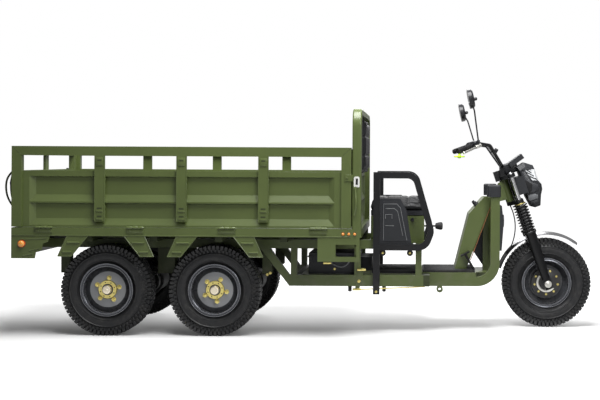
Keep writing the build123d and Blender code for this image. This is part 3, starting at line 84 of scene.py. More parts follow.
class Val:
    """A shader socket that Python's arithmetic works on."""

    def __init__(self, nodes, socket):
        self.nodes = nodes
        self.socket = socket

    def math(self, operation, *others):
        return self.nodes.node("Math", {"operation": operation}, dict(enumerate((self, *others))))

    def __add__(self, other):
        return self.math("ADD", other)

    def __mul__(self, other):
        return self.math("MULTIPLY", other)

    def __rsub__(self, other):
        return self.nodes.node("Math", {"operation": "SUBTRACT"}, {0: other, 1: self})

    def clip(self, low, high):
        """0 below low, 1 above high, smooth between."""
        settings = {"interpolation_type": "SMOOTHSTEP"}
        inputs = {"Value": self, "From Min": low, "From Max": high}
        return self.nodes.node("MapRange", settings, inputs, "Result")


class Nodes:
    """A node tree and what is made in it."""

    def __init__(self, tree):
        self.tree = tree

    def node(self, kind, settings, inputs, output=0):
        """Any shader node: its settings first, then its sockets, as values or links."""
        made = self.tree.nodes.new("ShaderNode" + kind)
        for name, value in settings.items():
            setattr(made, name, value)
        for name, value in inputs.items():
            if isinstance(value, Val):
                self.tree.links.new(value.socket, made.inputs[name])
            else:
                made.inputs[name].default_value = value
        return Val(self, made.outputs[output])

    def seen(self, gloss):
        """1 for rays that show the background, from the camera and through glass, and a share in gloss."""
        path = self.node("LightPath", {}, {}).socket.node
        names = ("Is Camera Ray", "Is Glossy Ray", "Is Transmission Ray")
        camera, glossy, through = [Val(self, path.outputs[name]) for name in names]
        return camera.math("MAXIMUM", glossy * gloss).math("MAXIMUM", through)


class Finish(Nodes):
    """One material and the nodes behind its shader."""

    def __init__(self, name, colour, roughness, metallic=0.0, **sockets):
        self.material = bpy.data.materials.new(name)
        self.material.use_nodes = True
        super().__init__(self.material.node_tree)
        self.shader = self.tree.nodes["Principled BSDF"]
        self.shader.inputs["Base Color"].default_value = (*colour, 1)
        self.shader.inputs["Roughness"].default_value = roughness
        self.shader.inputs["Metallic"].default_value = metallic
        for socket, value in sockets.items():
            self.shader.inputs[socket.replace("_", " ")].default_value = value
        FINISHES[name] = self.material

    def feed(self, socket, value):
        self.tree.links.new(value.socket, self.shader.inputs[socket])

    def place(self, scale=(1, 1, 1)):
        coordinates = self.node("TexCoord", {}, {}, "Object")
        return self.node("Mapping", {}, {"Vector": coordinates, "Scale": scale})

    def axes(self):
        coordinates = self.node("TexCoord", {}, {}, "Object")
        split = self.node("SeparateXYZ", {}, {"Vector": coordinates}).socket.node
        return [Val(self, output) for output in split.outputs]

    def noise(self, scale, detail=3.0, stretch=(1, 1, 1)):
        return self.node("TexNoise", {}, {"Vector": self.place(stretch), "Scale": scale, "Detail": detail})

    def cells(self, scale):
        return self.node("TexVoronoi", {}, {"Vector": self.place(), "Scale": scale}, "Distance")

    def mix(self, factor, first, second):
        colours = [item if isinstance(item, Val) else (*item, 1) for item in (first, second)]
        return self.node("Mix", {"data_type": "RGBA"}, {0: factor, 6: colours[0], 7: colours[1]}, 2)

    def tones(self, factor, colour, dark, light):
        """Base colour between a darker and a lighter tone."""
        tone = self.mix(factor, shade(colour, dark), shade(colour, light))
        self.feed("Base Color", tone)
        return tone

    def dull(self, grain, spread):
        """Roughness that a grain spreads about the shader's own."""
        middle = self.shader.inputs["Roughness"].default_value
        self.feed("Roughness", grain * spread + (middle - spread / 2))

    def bump(self, height, distance):
        self.feed("Normal", self.node("Bump", {}, {"Height": height, "Distance": distance, "Strength": 1.0}))


def shade(colour, factor):
    """A colour made lighter or darker."""
    return tuple(part * factor for part in colour)


def paint(name, colour, roughness, coat=0.0, dust=0.0, gloss=0.35):
    """Sprayed paint: slow tone changes, orange peel, and road dust low down."""
    finish = Finish(name, colour, roughness, Coat_Weight=coat, Coat_Roughness=0.16, Specular_IOR_Level=gloss)
    body = finish.tones(finish.noise(3.1, 2.0).clip(0.3, 0.7), colour, 0.93, 1.07)
    if dust:
        height = finish.axes()[2]
        grime = (1 - height.clip(0.15, 0.62)) * finish.noise(14.0, 5.0).clip(0.42, 0.72) * dust
        finish.feed("Base Color", finish.mix(grime, body, (0.16, 0.145, 0.12)))
    finish.dull(finish.noise(38.0, 4.0), 0.14)
    finish.bump(finish.noise(330.0, 2.0), 0.00022)


def metal(name, colour, roughness, grain=(60.0, (1, 1, 1)), spread=0.14):
    """Bare or plated metal with a grain in its gloss."""
    finish = Finish(name, colour, roughness, 1.0)
    scale, stretch = grain
    streak = finish.noise(scale, 4.0, stretch)
    finish.dull(streak, spread)
    finish.tones(finish.noise(9.0, 3.0).clip(0.3, 0.7), colour, 0.9, 1.06)
    finish.bump(streak, 0.00012)
    return finish


def rubber(name, colour, roughness, scale, gloss=0.24):
    """Matt rubber with a fine tooth and a little dust in it."""
    finish = Finish(name, colour, roughness, Specular_IOR_Level=gloss)
    dust = finish.noise(26.0, 5.0).clip(0.45, 0.8) * 0.3
    finish.feed("Base Color", finish.mix(dust, colour, (0.075, 0.072, 0.066)))
    finish.dull(finish.noise(70.0, 3.0), 0.2)
    finish.bump(finish.noise(scale, 3.0), 0.0004)


def plastic(name, colour, roughness, grain, coat=0.0):
    """Moulded plastic with a pebbled skin."""
    finish = Finish(name, colour, roughness, Coat_Weight=coat, Coat_Roughness=0.08, Specular_IOR_Level=0.3)
    finish.tones(finish.noise(7.0, 2.0).clip(0.3, 0.7), colour, 0.9, 1.12)
    finish.dull(finish.noise(45.0, 3.0), 0.12)
    finish.bump(finish.cells(grain), 0.00018)


def lens(name, colour, pitch):
    """Moulded lamp lens with fine upright flutes."""
    finish = Finish(name, colour, 0.12, Coat_Weight=0.6, Coat_Roughness=0.04, Emission_Strength=0.12)
    finish.shader.inputs["Emission Color"].default_value = (*colour, 1)
    wave = finish.node("TexWave", {"bands_direction": "X"}, {"Vector": finish.place(), "Scale": pitch})
    finish.tones(wave, colour, 0.7, 1.0)
    finish.bump(wave, 0.0006)


def vinyl(name, colour):
    """Upholstery vinyl: pebbled grain, softer shine on the worn crown."""
    finish = Finish(name, colour, 0.42, Specular_IOR_Level=0.26)
    worn = finish.noise(11.0, 4.0).clip(0.35, 0.75)
    finish.tones(worn, colour, 0.85, 1.35)
    finish.feed("Roughness", 0.56 - worn * 0.16)
    finish.bump(finish.cells(520.0) + finish.noise(140.0, 3.0) * 0.4, 0.0005)


def make_finishes(colours):
    """Every material of the tricycle."""
    paint("olive_paint", tuple(colours.olive), 0.32, 0.08, 0.35, 0.4)
    paint("black_enamel", (0.0095, 0.0097, 0.0108), 0.36, 0.0, 0.12, 0.24)
    paint("fork_black", (0.0055, 0.0056, 0.0062), 0.3, 0.0, 0.0, 0.2)
    paint("rim_enamel", tuple(colours.rim), 0.28, 0.06, 0.1, 0.4)
    paint("disc_enamel", (0.28, 0.288, 0.302), 0.4, 0.0, 0.1, 0.35)
    # Painted shade: olive at a third of its brightness, for parts under the bed and for dark strips, slots, seam
    # lines and bails
    paint("underbody_olive", shade(colours.olive, 0.33), 0.55, 0.0, 0.4)
    paint("hub_enamel", (0.02, 0.02, 0.021), 0.42, 0.1, 0.1)
    paint("pale_zinc", (0.6, 0.6, 0.58), 0.45)
    paint("spring_black", (0.009, 0.009, 0.0098), 0.3, 0.0, 0.15, 0.3)
    metal("zinc_plate", (0.62, 0.61, 0.57), 0.36)
    metal("yellow_zinc", (0.66, 0.56, 0.2), 0.34)
    metal("cap_brass", (0.78, 0.7, 0.55), 0.42)
    metal("hard_chrome", (0.7, 0.7, 0.71), 0.2, spread=0.06)
    # Painted shade: cast alloy parts drawn near black, as they look in the shade under the bed
    metal("cast_case", (0.045, 0.045, 0.046), 0.55, (160.0, (1, 1, 1)), 0.2)
    metal("copper_rod", (0.42, 0.2, 0.1), 0.42)
    metal("rim_lip", (0.085, 0.088, 0.098), 0.24, spread=0.04)
    # Painted highlight: light rings on the crests of the rim lips
    metal("rim_edge", (0.26, 0.265, 0.28), 0.3, spread=0.04)
    # Painted reflection: mirror glass darkened to show a dark surrounding in it
    metal("mirror_face", (0.2, 0.205, 0.215), 0.03, spread=0.02)
    fender = metal("fender_steel", (0.5, 0.5, 0.515), 0.26, (210.0, (1, 14, 1)), 0.12)
    # Painted shade: the fender darkens to near black towards its lower end
    shaded_low_end = 1 - fender.axes()[2].clip(0.4, 0.632)
    streaks = fender.noise(26.0, 4.0, (1, 9, 1)).clip(0.3, 0.75)
    bright = fender.mix(streaks, (0.4, 0.4, 0.415), (0.56, 0.56, 0.575))
    fender.feed("Base Color", fender.mix(shaded_low_end, bright, (0.05, 0.05, 0.053)))
    rubber("tyre_black", tuple(colours.tyre), 0.46, 420.0, 0.32)
    rubber("grip_black", (0.01, 0.01, 0.011), 0.6, 700.0)
    rubber("mat_black", (0.014, 0.014, 0.015), 0.66, 600.0)
    plastic("moulded_black", (0.0125, 0.0135, 0.016), 0.5, 900.0)
    # Painted shade: near black for slots, recesses and the tray
    plastic("recess_black", (0.0035, 0.0035, 0.004), 0.7, 900.0)
    plastic("satin_black", (0.013, 0.0135, 0.0155), 0.3, 1400.0, 0.05)
    plastic("lamp_black", (0.026, 0.0275, 0.031), 0.34, 1200.0, 0.05)
    # Painted light: a lighter grey for the headlamp's lower facet
    plastic("lamp_grey", (0.1, 0.104, 0.11), 0.42, 1100.0)
    plastic("line_grey", (0.16, 0.165, 0.17), 0.5, 900.0)
    plastic("lime_plastic", (0.5, 0.82, 0.02), 0.4, 900.0)
    vinyl("seat_vinyl", (0.0095, 0.0097, 0.0108))
    lens("amber_lens", (0.78, 0.31, 0.035), 60.0)
    lens("red_lens", (0.55, 0.02, 0.02), 60.0)
    lens("pale_lens", (0.82, 0.84, 0.86), 40.0)


SLOT_FINISHES = {
    "green_paint": "olive_paint", "black_paint": "black_enamel", "rim_paint": "rim_enamel",
    "bright_steel": "zinc_plate", "spring_steel": "spring_black", "cast_alloy": "cast_case",
    "plated_tube": "hard_chrome", "fender_steel": "fender_steel", "tyre_rubber": "tyre_black",
    "grip_rubber": "grip_black", "mat_rubber": "mat_black", "black_plastic": "moulded_black",
    "gloss_black_plastic": "satin_black", "seat_vinyl": "seat_vinyl", "amber_lens": "amber_lens",
    "red_lens": "red_lens", "clear_lens": "pale_lens",
}
# Hangers, bearers and cross members take the olive darkened as painted shade
NODE_FINISHES = {"spring_hangers": "underbody_olive", "bed_bearers": "underbody_olive",
                 "cross_members": "underbody_olive", "fork_legs": "fork_black"}


def at(x=0.0, y=0.0, z=0.0):
    """A place that is moved and not turned."""
    return Matrix.Translation((x, y, z))


def along(origin, axis, across=(0, 0, 1)):
    """A place whose Z runs along axis and whose X is as near across as it can be."""
    z = Vector(axis).normalized()
    x = Vector(across) - z * Vector(across).dot(z)
    if x.length < 1e-6:
        x = Vector((1, 0, 0)) - z * z.x
    x.normalize()
    turn = Matrix((x, z.cross(x), z)).transposed().to_4x4()
    return Matrix.Translation(origin) @ turn


def flank(side, x, y, z):
    """A place on one flank, y from the middle plane, whose Z points outwards and whose X points forwards."""
    return along((x, side * y, z), (0, side, 0), (1, 0, 0))


def ring(place, count, radius, start=0.0, lift=0.0):
    """Places round the Z axis of a place, their X pointing outwards."""
    turns = [Matrix.Rotation(start + 2 * pi * index / count, 4, "Z") for index in range(count)]
    return [place @ turn @ at(radius, 0, lift) for turn in turns]


def bevel(bm, edges, offset, segments):
    bmesh.ops.bevel(bm, geom=edges, offset=offset, segments=segments, profile=0.5, affect="EDGES",
                    material=-1)


def facing_out(bm):
    """The same shape with its normals recalculated."""
    bmesh.ops.recalc_face_normals(bm, faces=bm.faces[:])
    return bm


def slab(size, edge, segments=1):
    """A box about the origin with bevelled edges."""
    bm = bmesh.new()
    bmesh.ops.create_cube(bm, size=1, matrix=Matrix.Diagonal((*size, 1)))
    if edge:
        bevel(bm, bm.edges[:], edge, segments)
    return bm


def rod(radius, length, sides=24, edge=0.0):
    """A round or many-sided bar from the origin along Z."""
    bm = bmesh.new()
    bmesh.ops.create_cone(bm, cap_ends=True, segments=sides, radius1=radius, radius2=radius, depth=length,
                          matrix=at(z=length / 2))
    if edge:
        rims = [line for line in bm.edges if abs(line.verts[0].co.z - line.verts[1].co.z) < 1e-6]
        bevel(bm, rims, edge, 2)
    return bm


def lathe(profile, steps=64):
    """A shape spun about Z from (radius, height) points; one that ends where it starts is a ring."""
    bm = bmesh.new()
    closed = profile[0] == profile[-1]
    verts = [bm.verts.new((r, 0, z)) for r, z in (profile[:-1] if closed else profile)]
    edges = [bm.edges.new(two) for two in zip(verts, verts[1:])]
    if closed:
        edges.append(bm.edges.new((verts[-1], verts[0])))
    bmesh.ops.spin(bm, geom=verts + edges, cent=(0, 0, 0), axis=(0, 0, 1), angle=2 * pi, steps=steps,
                   use_merge=True)
    bmesh.ops.remove_doubles(bm, verts=bm.verts[:], dist=1e-6)
    return facing_out(bm)


def prism(points, depth):
    """A flat outline in XY given a thickness along Z."""
    bm = bmesh.new()
    face = bm.faces.new([bm.verts.new((x, y, 0)) for x, y in points])
    walls = bmesh.ops.extrude_face_region(bm, geom=[face])["geom"]
    moved = [item for item in walls if isinstance(item, bmesh.types.BMVert)]
    bmesh.ops.translate(bm, verts=moved, vec=(0, 0, depth))
    return facing_out(bm)


def window_frame(half_x, half_y, corner, thick):
    """A thin plate between a rectangle and a rounded opening in it, about the origin."""
    bm = bmesh.new()
    inner = []
    outer = []
    for sx, sy, start in ((1, 1, 0.0), (-1, 1, 0.5), (-1, -1, 1.0), (1, -1, 1.5)):
        for index in range(8):
            turn = (start + index / 14) * pi
            x = sx * (half_x - corner) + corner * cos(turn)
            y = sy * (half_y - corner) + corner * sin(turn)
            reach = min(half_x / max(abs(x), 1e-9), half_y / max(abs(y), 1e-9)) * 1.02
            inner.append(bm.verts.new((x, y, 0)))
            outer.append(bm.verts.new((x * reach, y * reach, 0)))
    for index in range(len(inner)):
        after = (index + 1) % len(inner)
        bm.faces.new((inner[index], inner[after], outer[after], outer[index]))
    bmesh.ops.solidify(bm, geom=bm.faces[:], thickness=thick)
    return facing_out(bm)


def bent_rod(points, radius, smooth=True, sides=3):
    """A round bar along a route, as a curve made into a mesh."""
    curve = bpy.data.curves.new("route", "CURVE")
    curve.dimensions = "3D"
    curve.bevel_depth = radius
    curve.bevel_resolution = sides
    curve.use_fill_caps = True
    curve.resolution_u = 8
    spline = curve.splines.new("NURBS" if smooth else "POLY")
    spline.points.add(len(points) - 1)
    for point, place in zip(spline.points, points):
        point.co = (*place, 1)
    spline.order_u = 3
    spline.use_endpoint_u = True
    holder = bpy.data.objects.new("route", curve)
    mesh = bpy.data.meshes.new_from_object(holder)
    bm = bmesh.new()
    bm.from_mesh(mesh)
    bpy.data.objects.remove(holder)
    bpy.data.curves.remove(curve)
    bpy.data.meshes.remove(mesh)
    bmesh.ops.remove_doubles(bm, verts=bm.verts[:], dist=1e-5)
    return facing_out(bm)


def flat_rod(route, y, radius, sides=1):
    """A bar with sharp turns along (X, Z) points at one Y."""
    return bent_rod([(x, y, z) for x, z in route], radius, False, sides)


def coil(radius, wire, turns, length, steps=26):
    """A wire spring about Z from the origin."""
    bm = bmesh.new()
    loop = bmesh.ops.create_circle(bm, segments=10, radius=wire,
                                   matrix=at(radius, 0, wire) @ Matrix.Rotation(pi / 2, 4, "X"))
    edges = list({edge for vert in loop["verts"] for edge in vert.link_edges})
    rise = (length - 2 * wire) / (turns * steps)
    bmesh.ops.spin(bm, geom=loop["verts"] + edges, cent=(0, 0, 0), axis=(0, 0, 1), dvec=(0, 0, rise),
                   angle=2 * pi * turns, steps=turns * steps)
    bmesh.ops.holes_fill(bm, edges=[edge for edge in bm.edges if edge.is_boundary], sides=0)
    return facing_out(bm)


def hexagon_bolt(across, height):
    """A bolt head with its washer, standing on the origin along Z."""
    r = across / 2
    return lathe([(0.0, height), (r * 0.85, height), (r, height * 0.85), (r, height * 0.25),
                  (r * 1.4, height * 0.22), (r * 1.4, -0.001)], 6)


class Piece:
    """One object of the dressing: parts are stamped into it, then it is finished and rides on a body."""

    def __init__(self, name):
        self.name = name
        self.bm = bmesh.new()

    def stamp(self, part, *places):
        """Copies of a part at places, or where it stands."""
        mesh = bpy.data.meshes.new("part")
        part.to_mesh(mesh)
        part.free()
        for place in places or (Matrix.Identity(4),):
            copy = mesh.copy()
            copy.transform(place)
            self.bm.from_mesh(copy)
            bpy.data.meshes.remove(copy)
        bpy.data.meshes.remove(mesh)
        return self

    def finish(self, material, body, slot, replaced=(), angle=38):
        """Makes the object, with smooth shading up to an angle."""
        mesh = bpy.data.meshes.new(self.name)
        self.bm.to_mesh(mesh)
        self.bm.free()
        made = bpy.data.objects.new(self.name, mesh)
        bpy.context.scene.collection.objects.link(made)
        mesh.materials.append(FINISHES[material])
        mesh.polygons.foreach_set("use_smooth", [True] * len(mesh.polygons))
        mesh.set_sharp_from_angle(angle=radians(angle))
        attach(made, body)
        if replaced:
            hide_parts(*replaced)


def colour_property(name, description, default):
    return FloatVectorProperty(name=name, description=description, subtype="COLOR", size=3, default=default,
                               min=0, max=1)


class TricycleColours(bpy.types.PropertyGroup):
    """Colours that a user would change."""
    olive: colour_property("Olive", "Body paint", (0.0775, 0.102, 0.0305))
    rim: colour_property("Rim", "Wheel paint", (0.06, 0.0625, 0.069))
    tyre: colour_property("Tyre", "Tyre rubber", (0.0115, 0.0117, 0.0128))
    floor: colour_property("Floor", "Studio floor", (0.65, 0.65, 0.65))


class TricycleSizes(bpy.types.PropertyGroup):
    """Sizes that a user would change."""
    lug_count: IntProperty(name="Lugs", description="Tread lugs round one shoulder", default=64, min=20)
    lug_depth: FloatProperty(name="Lug depth", description="Height of the tread lugs", unit="LENGTH",
                             default=0.007)
    seat_swell: FloatProperty(name="Seat swell", description="How far a cushion's skin may swell",
                              unit="LENGTH", default=0.012)


class TRICYCLE_OT_stage(bpy.types.Operator):
    """Floor, light and camera of the studio"""
    bl_idname = "tricycle.stage"
    bl_label = "Studio"

    def execute(self, context):
        scene = context.scene
        scene.view_settings.view_transform = "Standard"
        self.floor(scene)
        self.world(scene)
        self.lamps(scene)
        self.camera(scene)
        return {"FINISHED"}

    def floor(self, scene):
        """A card that glows to white away from the tricycle and lights it less than it shows."""
        bm = bmesh.new()
        bmesh.ops.create_grid(bm, x_segments=1, y_segments=1, size=30)
        mesh = bpy.data.meshes.new("studio_floor")
        bm.to_mesh(mesh)
        bm.free()
        floor = bpy.data.objects.new("studio_floor", mesh)
        scene.collection.objects.link(floor)
        card = tuple(scene.tricycle_colours.floor)
        finish = Finish("floor_card", card, 0.9)
        finish.tones(finish.seen(0.8), card, 0.42, 1.0)
        x, y = finish.axes()[:2]
        away = (x * x * 0.25 + y * y).math("SQRT").clip(0.9, 3.6)
        behind = y.clip(-0.45, 0.75) * 0.62 + 0.06
        ends = x.math("ABSOLUTE").clip(1.75, 2.75)
        reach = away.math("MAXIMUM", behind).math("MAXIMUM", ends)
        glow = finish.node("Emission", {}, {"Strength": finish.seen(0.22) * reach})
        both = finish.node("AddShader", {}, {0: Val(finish, finish.shader.outputs[0]), 1: glow})
        finish.tree.links.new(both.socket, finish.tree.nodes["Material Output"].inputs["Surface"])
        mesh.materials.append(finish.material)

    def world(self, scene):
        scene.world = bpy.data.worlds.new("studio_world")
        scene.world.use_nodes = True
        nodes = Nodes(scene.world.node_tree)
        background = nodes.tree.nodes["Background"]
        background.inputs["Color"].default_value = (1, 1, 1, 1)
        strength = nodes.seen(0.3) * 0.93 + 0.07
        nodes.tree.links.new(strength.socket, background.inputs["Strength"])

    def lamps(self, scene):
        # name: (place, aimed at, size, watts)
        table = {
            "overhead_box": ((0.3, -1.3, 4.2), (0.1, -0.2, 0.5), 2.8, 402),
            "front_box": ((2.6, -4.6, 2.8), (1.2, 0, 0.7), 1.6, 92),
            "rear_box": ((-3.6, -4.2, 3.0), (-0.6, 0, 0.6), 2.4, 5),
            "far_box": ((0.5, 4.6, 3.4), (0, 0, 0.7), 3.0, 95),
        }
        for name, (place, aim, size, watts) in table.items():
            lamp = bpy.data.lights.new(name, "AREA")
            lamp.size = size
            lamp.energy = watts
            made = bpy.data.objects.new(name, lamp)
            made.location = place
            made.rotation_euler = (Vector(aim) - Vector(place)).to_track_quat("-Z", "Y").to_euler()
            scene.collection.objects.link(made)

    def camera(self, scene):
        view = bpy.data.cameras.new("camera")
        view.sensor_width = 36
        view.lens = 67.3
        view.shift_x = -0.195
        view.shift_y = -0.0677
        view.dof.use_dof = False
        camera = bpy.data.objects.new("camera", view)
        camera.location = CAMERA
        camera.rotation_euler = (pi / 2, radians(-0.32), 0)
        scene.collection.objects.link(camera)
        scene.camera = camera


class TRICYCLE_OT_finishes(bpy.types.Operator):
    """Materials of every carried-over solid"""
    bl_idname = "tricycle.finishes"
    bl_label = "Finishes"

    def execute(self, context):
        make_finishes(context.scene.tricycle_colours)
        for part in frame["record"]["subparts"]:
            mesh = NODES[part["node"]].data
            mesh.materials.clear()
            finish = NODE_FINISHES.get(part["node"], SLOT_FINISHES[part["material_slot"]])
            mesh.materials.append(FINISHES[finish])
        return {"FINISHED"}


class TRICYCLE_OT_tyres(bpy.types.Operator):
    """Lugged tyres in place of the plain ones"""
    bl_idname = "tricycle.tyres"
    bl_label = "Tyres"

    def execute(self, context):
        for name in ("front", *[name for name, side in CORNERS]):
            self.tyre(name, context.scene.tricycle_sizes)
        return {"FINISHED"}

    def tyre(self, name, sizes):
        low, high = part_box(name + "_tyre")
        radius = (high.z - low.z) / 2
        wall = (high.y - low.y) / 2
        place = along((low + high) / 2, (0, 1, 0))
        depth = sizes.lug_depth
        carcass = radius - depth
        bead = 0.157
        tread = wall - 0.016
        # Side wall: (below the carcass, inside the wall); bead: (above its foot, inside the wall)
        side_wall = ((0.02, 0.016), (0.034, 0.0105), (0.044, 0.006), (0.047, 0.001), (0.051, 0.0006),
                     (0.054, 0.0032), (0.064, 0.0012), (0.076, 0.0025), (0.088, 0.0062), (0.0905, 0.0042),
                     (0.0945, 0.006), (0.097, 0.0108))
        foot = ((0.022, 0.0165), (0.012, 0.0225), (0.0, 0.03))
        half = [(carcass, 0), (carcass - 0.002, tread * 0.6), (carcass - 0.008, tread)]
        half += [(carcass - below, wall - inside) for below, inside in side_wall]
        half += [(bead + above, wall - inside) for above, inside in foot]
        profile = [(r, -z) for r, z in reversed(half)] + half[1:] + [(half[-1][0], -half[-1][1])]
        piece = Piece(name + "_tyre_lugged")
        piece.stamp(lathe(profile, 96), place)
        count = sizes.lug_count
        pitch = 2 * pi * radius / count
        # Lug kinds: size, radius of its middle, along the axle, lean about X and about Y, half steps round
        crown = carcass + depth / 2
        kinds = (((depth + 0.009, pitch * 0.72, 0.034), crown - 0.0046, tread - 0.015, 10, 0, 0),
                 ((0.034, pitch * 0.7, 0.016), carcass - 0.0105, wall - 0.0128, 0, -20, 0),
                 ((0.02, pitch * 0.46, 0.01), carcass - 0.03, wall - 0.0078, 0, -9, 1),
                 ((depth + 0.004, pitch * 0.7, 0.017), crown - 0.002, 0.0125, 24, 0, 1))
        for way in (-1, 1):
            for size, out, offset, lean, tilt, step in kinds:
                lug = at(out, 0, way * offset) @ Matrix.Rotation(radians(way * lean), 4, "X")
                lug = lug @ Matrix.Rotation(radians(way * tilt), 4, "Y")
                start = (way / 2 + step) * pi / count
                piece.stamp(slab(size, 0.0016), *[spot @ lug for spot in ring(place, count, 0.0, start)])
        piece.finish("tyre_black", name + "_roller", "tyre_rubber", (name + "_tyre",))


class TRICYCLE_OT_wheel_fittings(bpy.types.Operator):
    """Nuts, hub flanges, caps and rim lips"""
    bl_idname = "tricycle.wheel_fittings"
    bl_label = "Wheel fittings"

    def execute(self, context):
        for name, side in CORNERS:
            self.rear(name, side)
        self.front()
        return {"FINISHED"}

    def rear(self, name, side):
        """Fittings of one rear wheel; face is the disc's outer face from the wheel's middle plane."""
        low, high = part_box(name + "_wheel")
        centre = (low + high) / 2
        centre.y = WHEEL_Y * side
        place = along(centre, (0, side, 0))
        body = name + "_roller"
        face = 0.022
        nuts_turned = -0.1 if name.startswith("rear") else -0.47
        flange = Piece(name + "_hub_flange")
        flange.stamp(lathe([(0.041, face), (0.058, face), (0.0585, face + 0.009), (0.056, face + 0.0125),
                            (0.036, face + 0.0125), (0.034, face + 0.009), (0.029, face + 0.009)], 48), place)
        nut = lathe([(0.0, 0.030), (0.0055, 0.030), (0.007, 0.0285), (0.007, 0.018), (0.0115, 0.017),
                     (0.0125, 0.014), (0.0125, 0.004), (0.016, 0.0035), (0.016, 0.0)], 6)
        flange.stamp(nut, *ring(place, 5, 0.073, nuts_turned, face))
        # Dark discs on the flange stand for its holes: painted shade
        holes = Piece(name + "_hub_holes")
        holes.stamp(rod(0.0036, 0.001, 14), *ring(place, 8, 0.046, 0.3, face + 0.0123))
        cap = Piece(name + "_hub_cap")
        cap.stamp(lathe([(0.0, 0.0612), (0.006, 0.0612), (0.007, 0.0604), (0.019, 0.0606), (0.0245, 0.0598),
                         (0.0278, 0.057), (0.0288, 0.053), (0.0288, 0.036)], 40), place)
        disc = Piece(name + "_disc_plate")
        disc.stamp(lathe([(0.0405, face + 0.0004), (0.109, face + 0.0012), (0.1135, face - 0.0005),
                          (0.1145, face - 0.003)], 72), place)
        holes.finish("black_enamel", body, "black_paint")
        flange.finish("yellow_zinc", body, "bright_steel", angle=30)
        cap.finish("cap_brass", body, "bright_steel")
        disc.finish("disc_enamel", body, "rim_paint")
        self.rims(name, [place], body)

    def rims(self, name, places, body):
        """Rolled lip of a rim with two lighter rings at its crests, which are painted highlights."""
        lip = Piece(name + "_rim_lip")
        lip.stamp(lathe([(0.1445, 0.05), (0.1445, 0.0565), (0.148, 0.0585), (0.152, 0.0572), (0.156, 0.0562),
                         (0.161, 0.0572), (0.164, 0.0588), (0.1668, 0.0575), (0.1668, 0.05)], 96), *places)
        edge = Piece(name + "_rim_edge")
        for r, z in ((0.1642, 0.0588), (0.1484, 0.0585)):
            edge.stamp(lathe([(r - 0.0012, z - 0.001), (r - 0.0008, z + 0.0006), (r + 0.0008, z + 0.0006),
                              (r + 0.0012, z - 0.001)], 96), *places)
        lip.finish("rim_lip", body, "rim_paint")
        edge.finish("rim_edge", body, "rim_paint")

    def front(self):
        body = "front_roller"
        place = along(FRONT_AXLE, (0, -1, 0))
        hub = Piece("front_hub_plate")
        hub.stamp(lathe([(0.03, 0.034), (0.058, 0.034), (0.062, 0.031), (0.09, 0.031), (0.0985, 0.029),
                         (0.0985, 0.012)], 64), place)
        hub.finish("hub_enamel", body, "rim_paint")
        bolt = lathe([(0.0, 0.008), (0.0052, 0.008), (0.006, 0.007), (0.006, 0.002), (0.008, 0.0018),
                      (0.008, -0.002)], 6)
        bolts = Piece("front_hub_bolts").stamp(bolt, *ring(place, 9, 0.079, 0.35, 0.031))
        bolts.finish("yellow_zinc", body, "bright_steel", angle=30)
        self.rims("front", [along(FRONT_AXLE, (0, way, 0)) for way in BOTH], body)
        # A bright zinc half ring on the hub: a painted highlight
        lit_crescent = lathe([(0.05, 0.0338), (0.05, 0.0362), (0.053, 0.0372), (0.0635, 0.0372), (0.066, 0.0362),
                          (0.066, 0.0338)], 64)
        bmesh.ops.bisect_plane(lit_crescent, geom=lit_crescent.verts[:] + lit_crescent.edges[:] + lit_crescent.faces[:],
                               plane_co=(0.006, 0, 0), plane_no=(0.75, -0.66, 0), clear_outer=True)
        Piece("front_hub_ring").stamp(lit_crescent, place).finish("zinc_plate", body, "bright_steel")


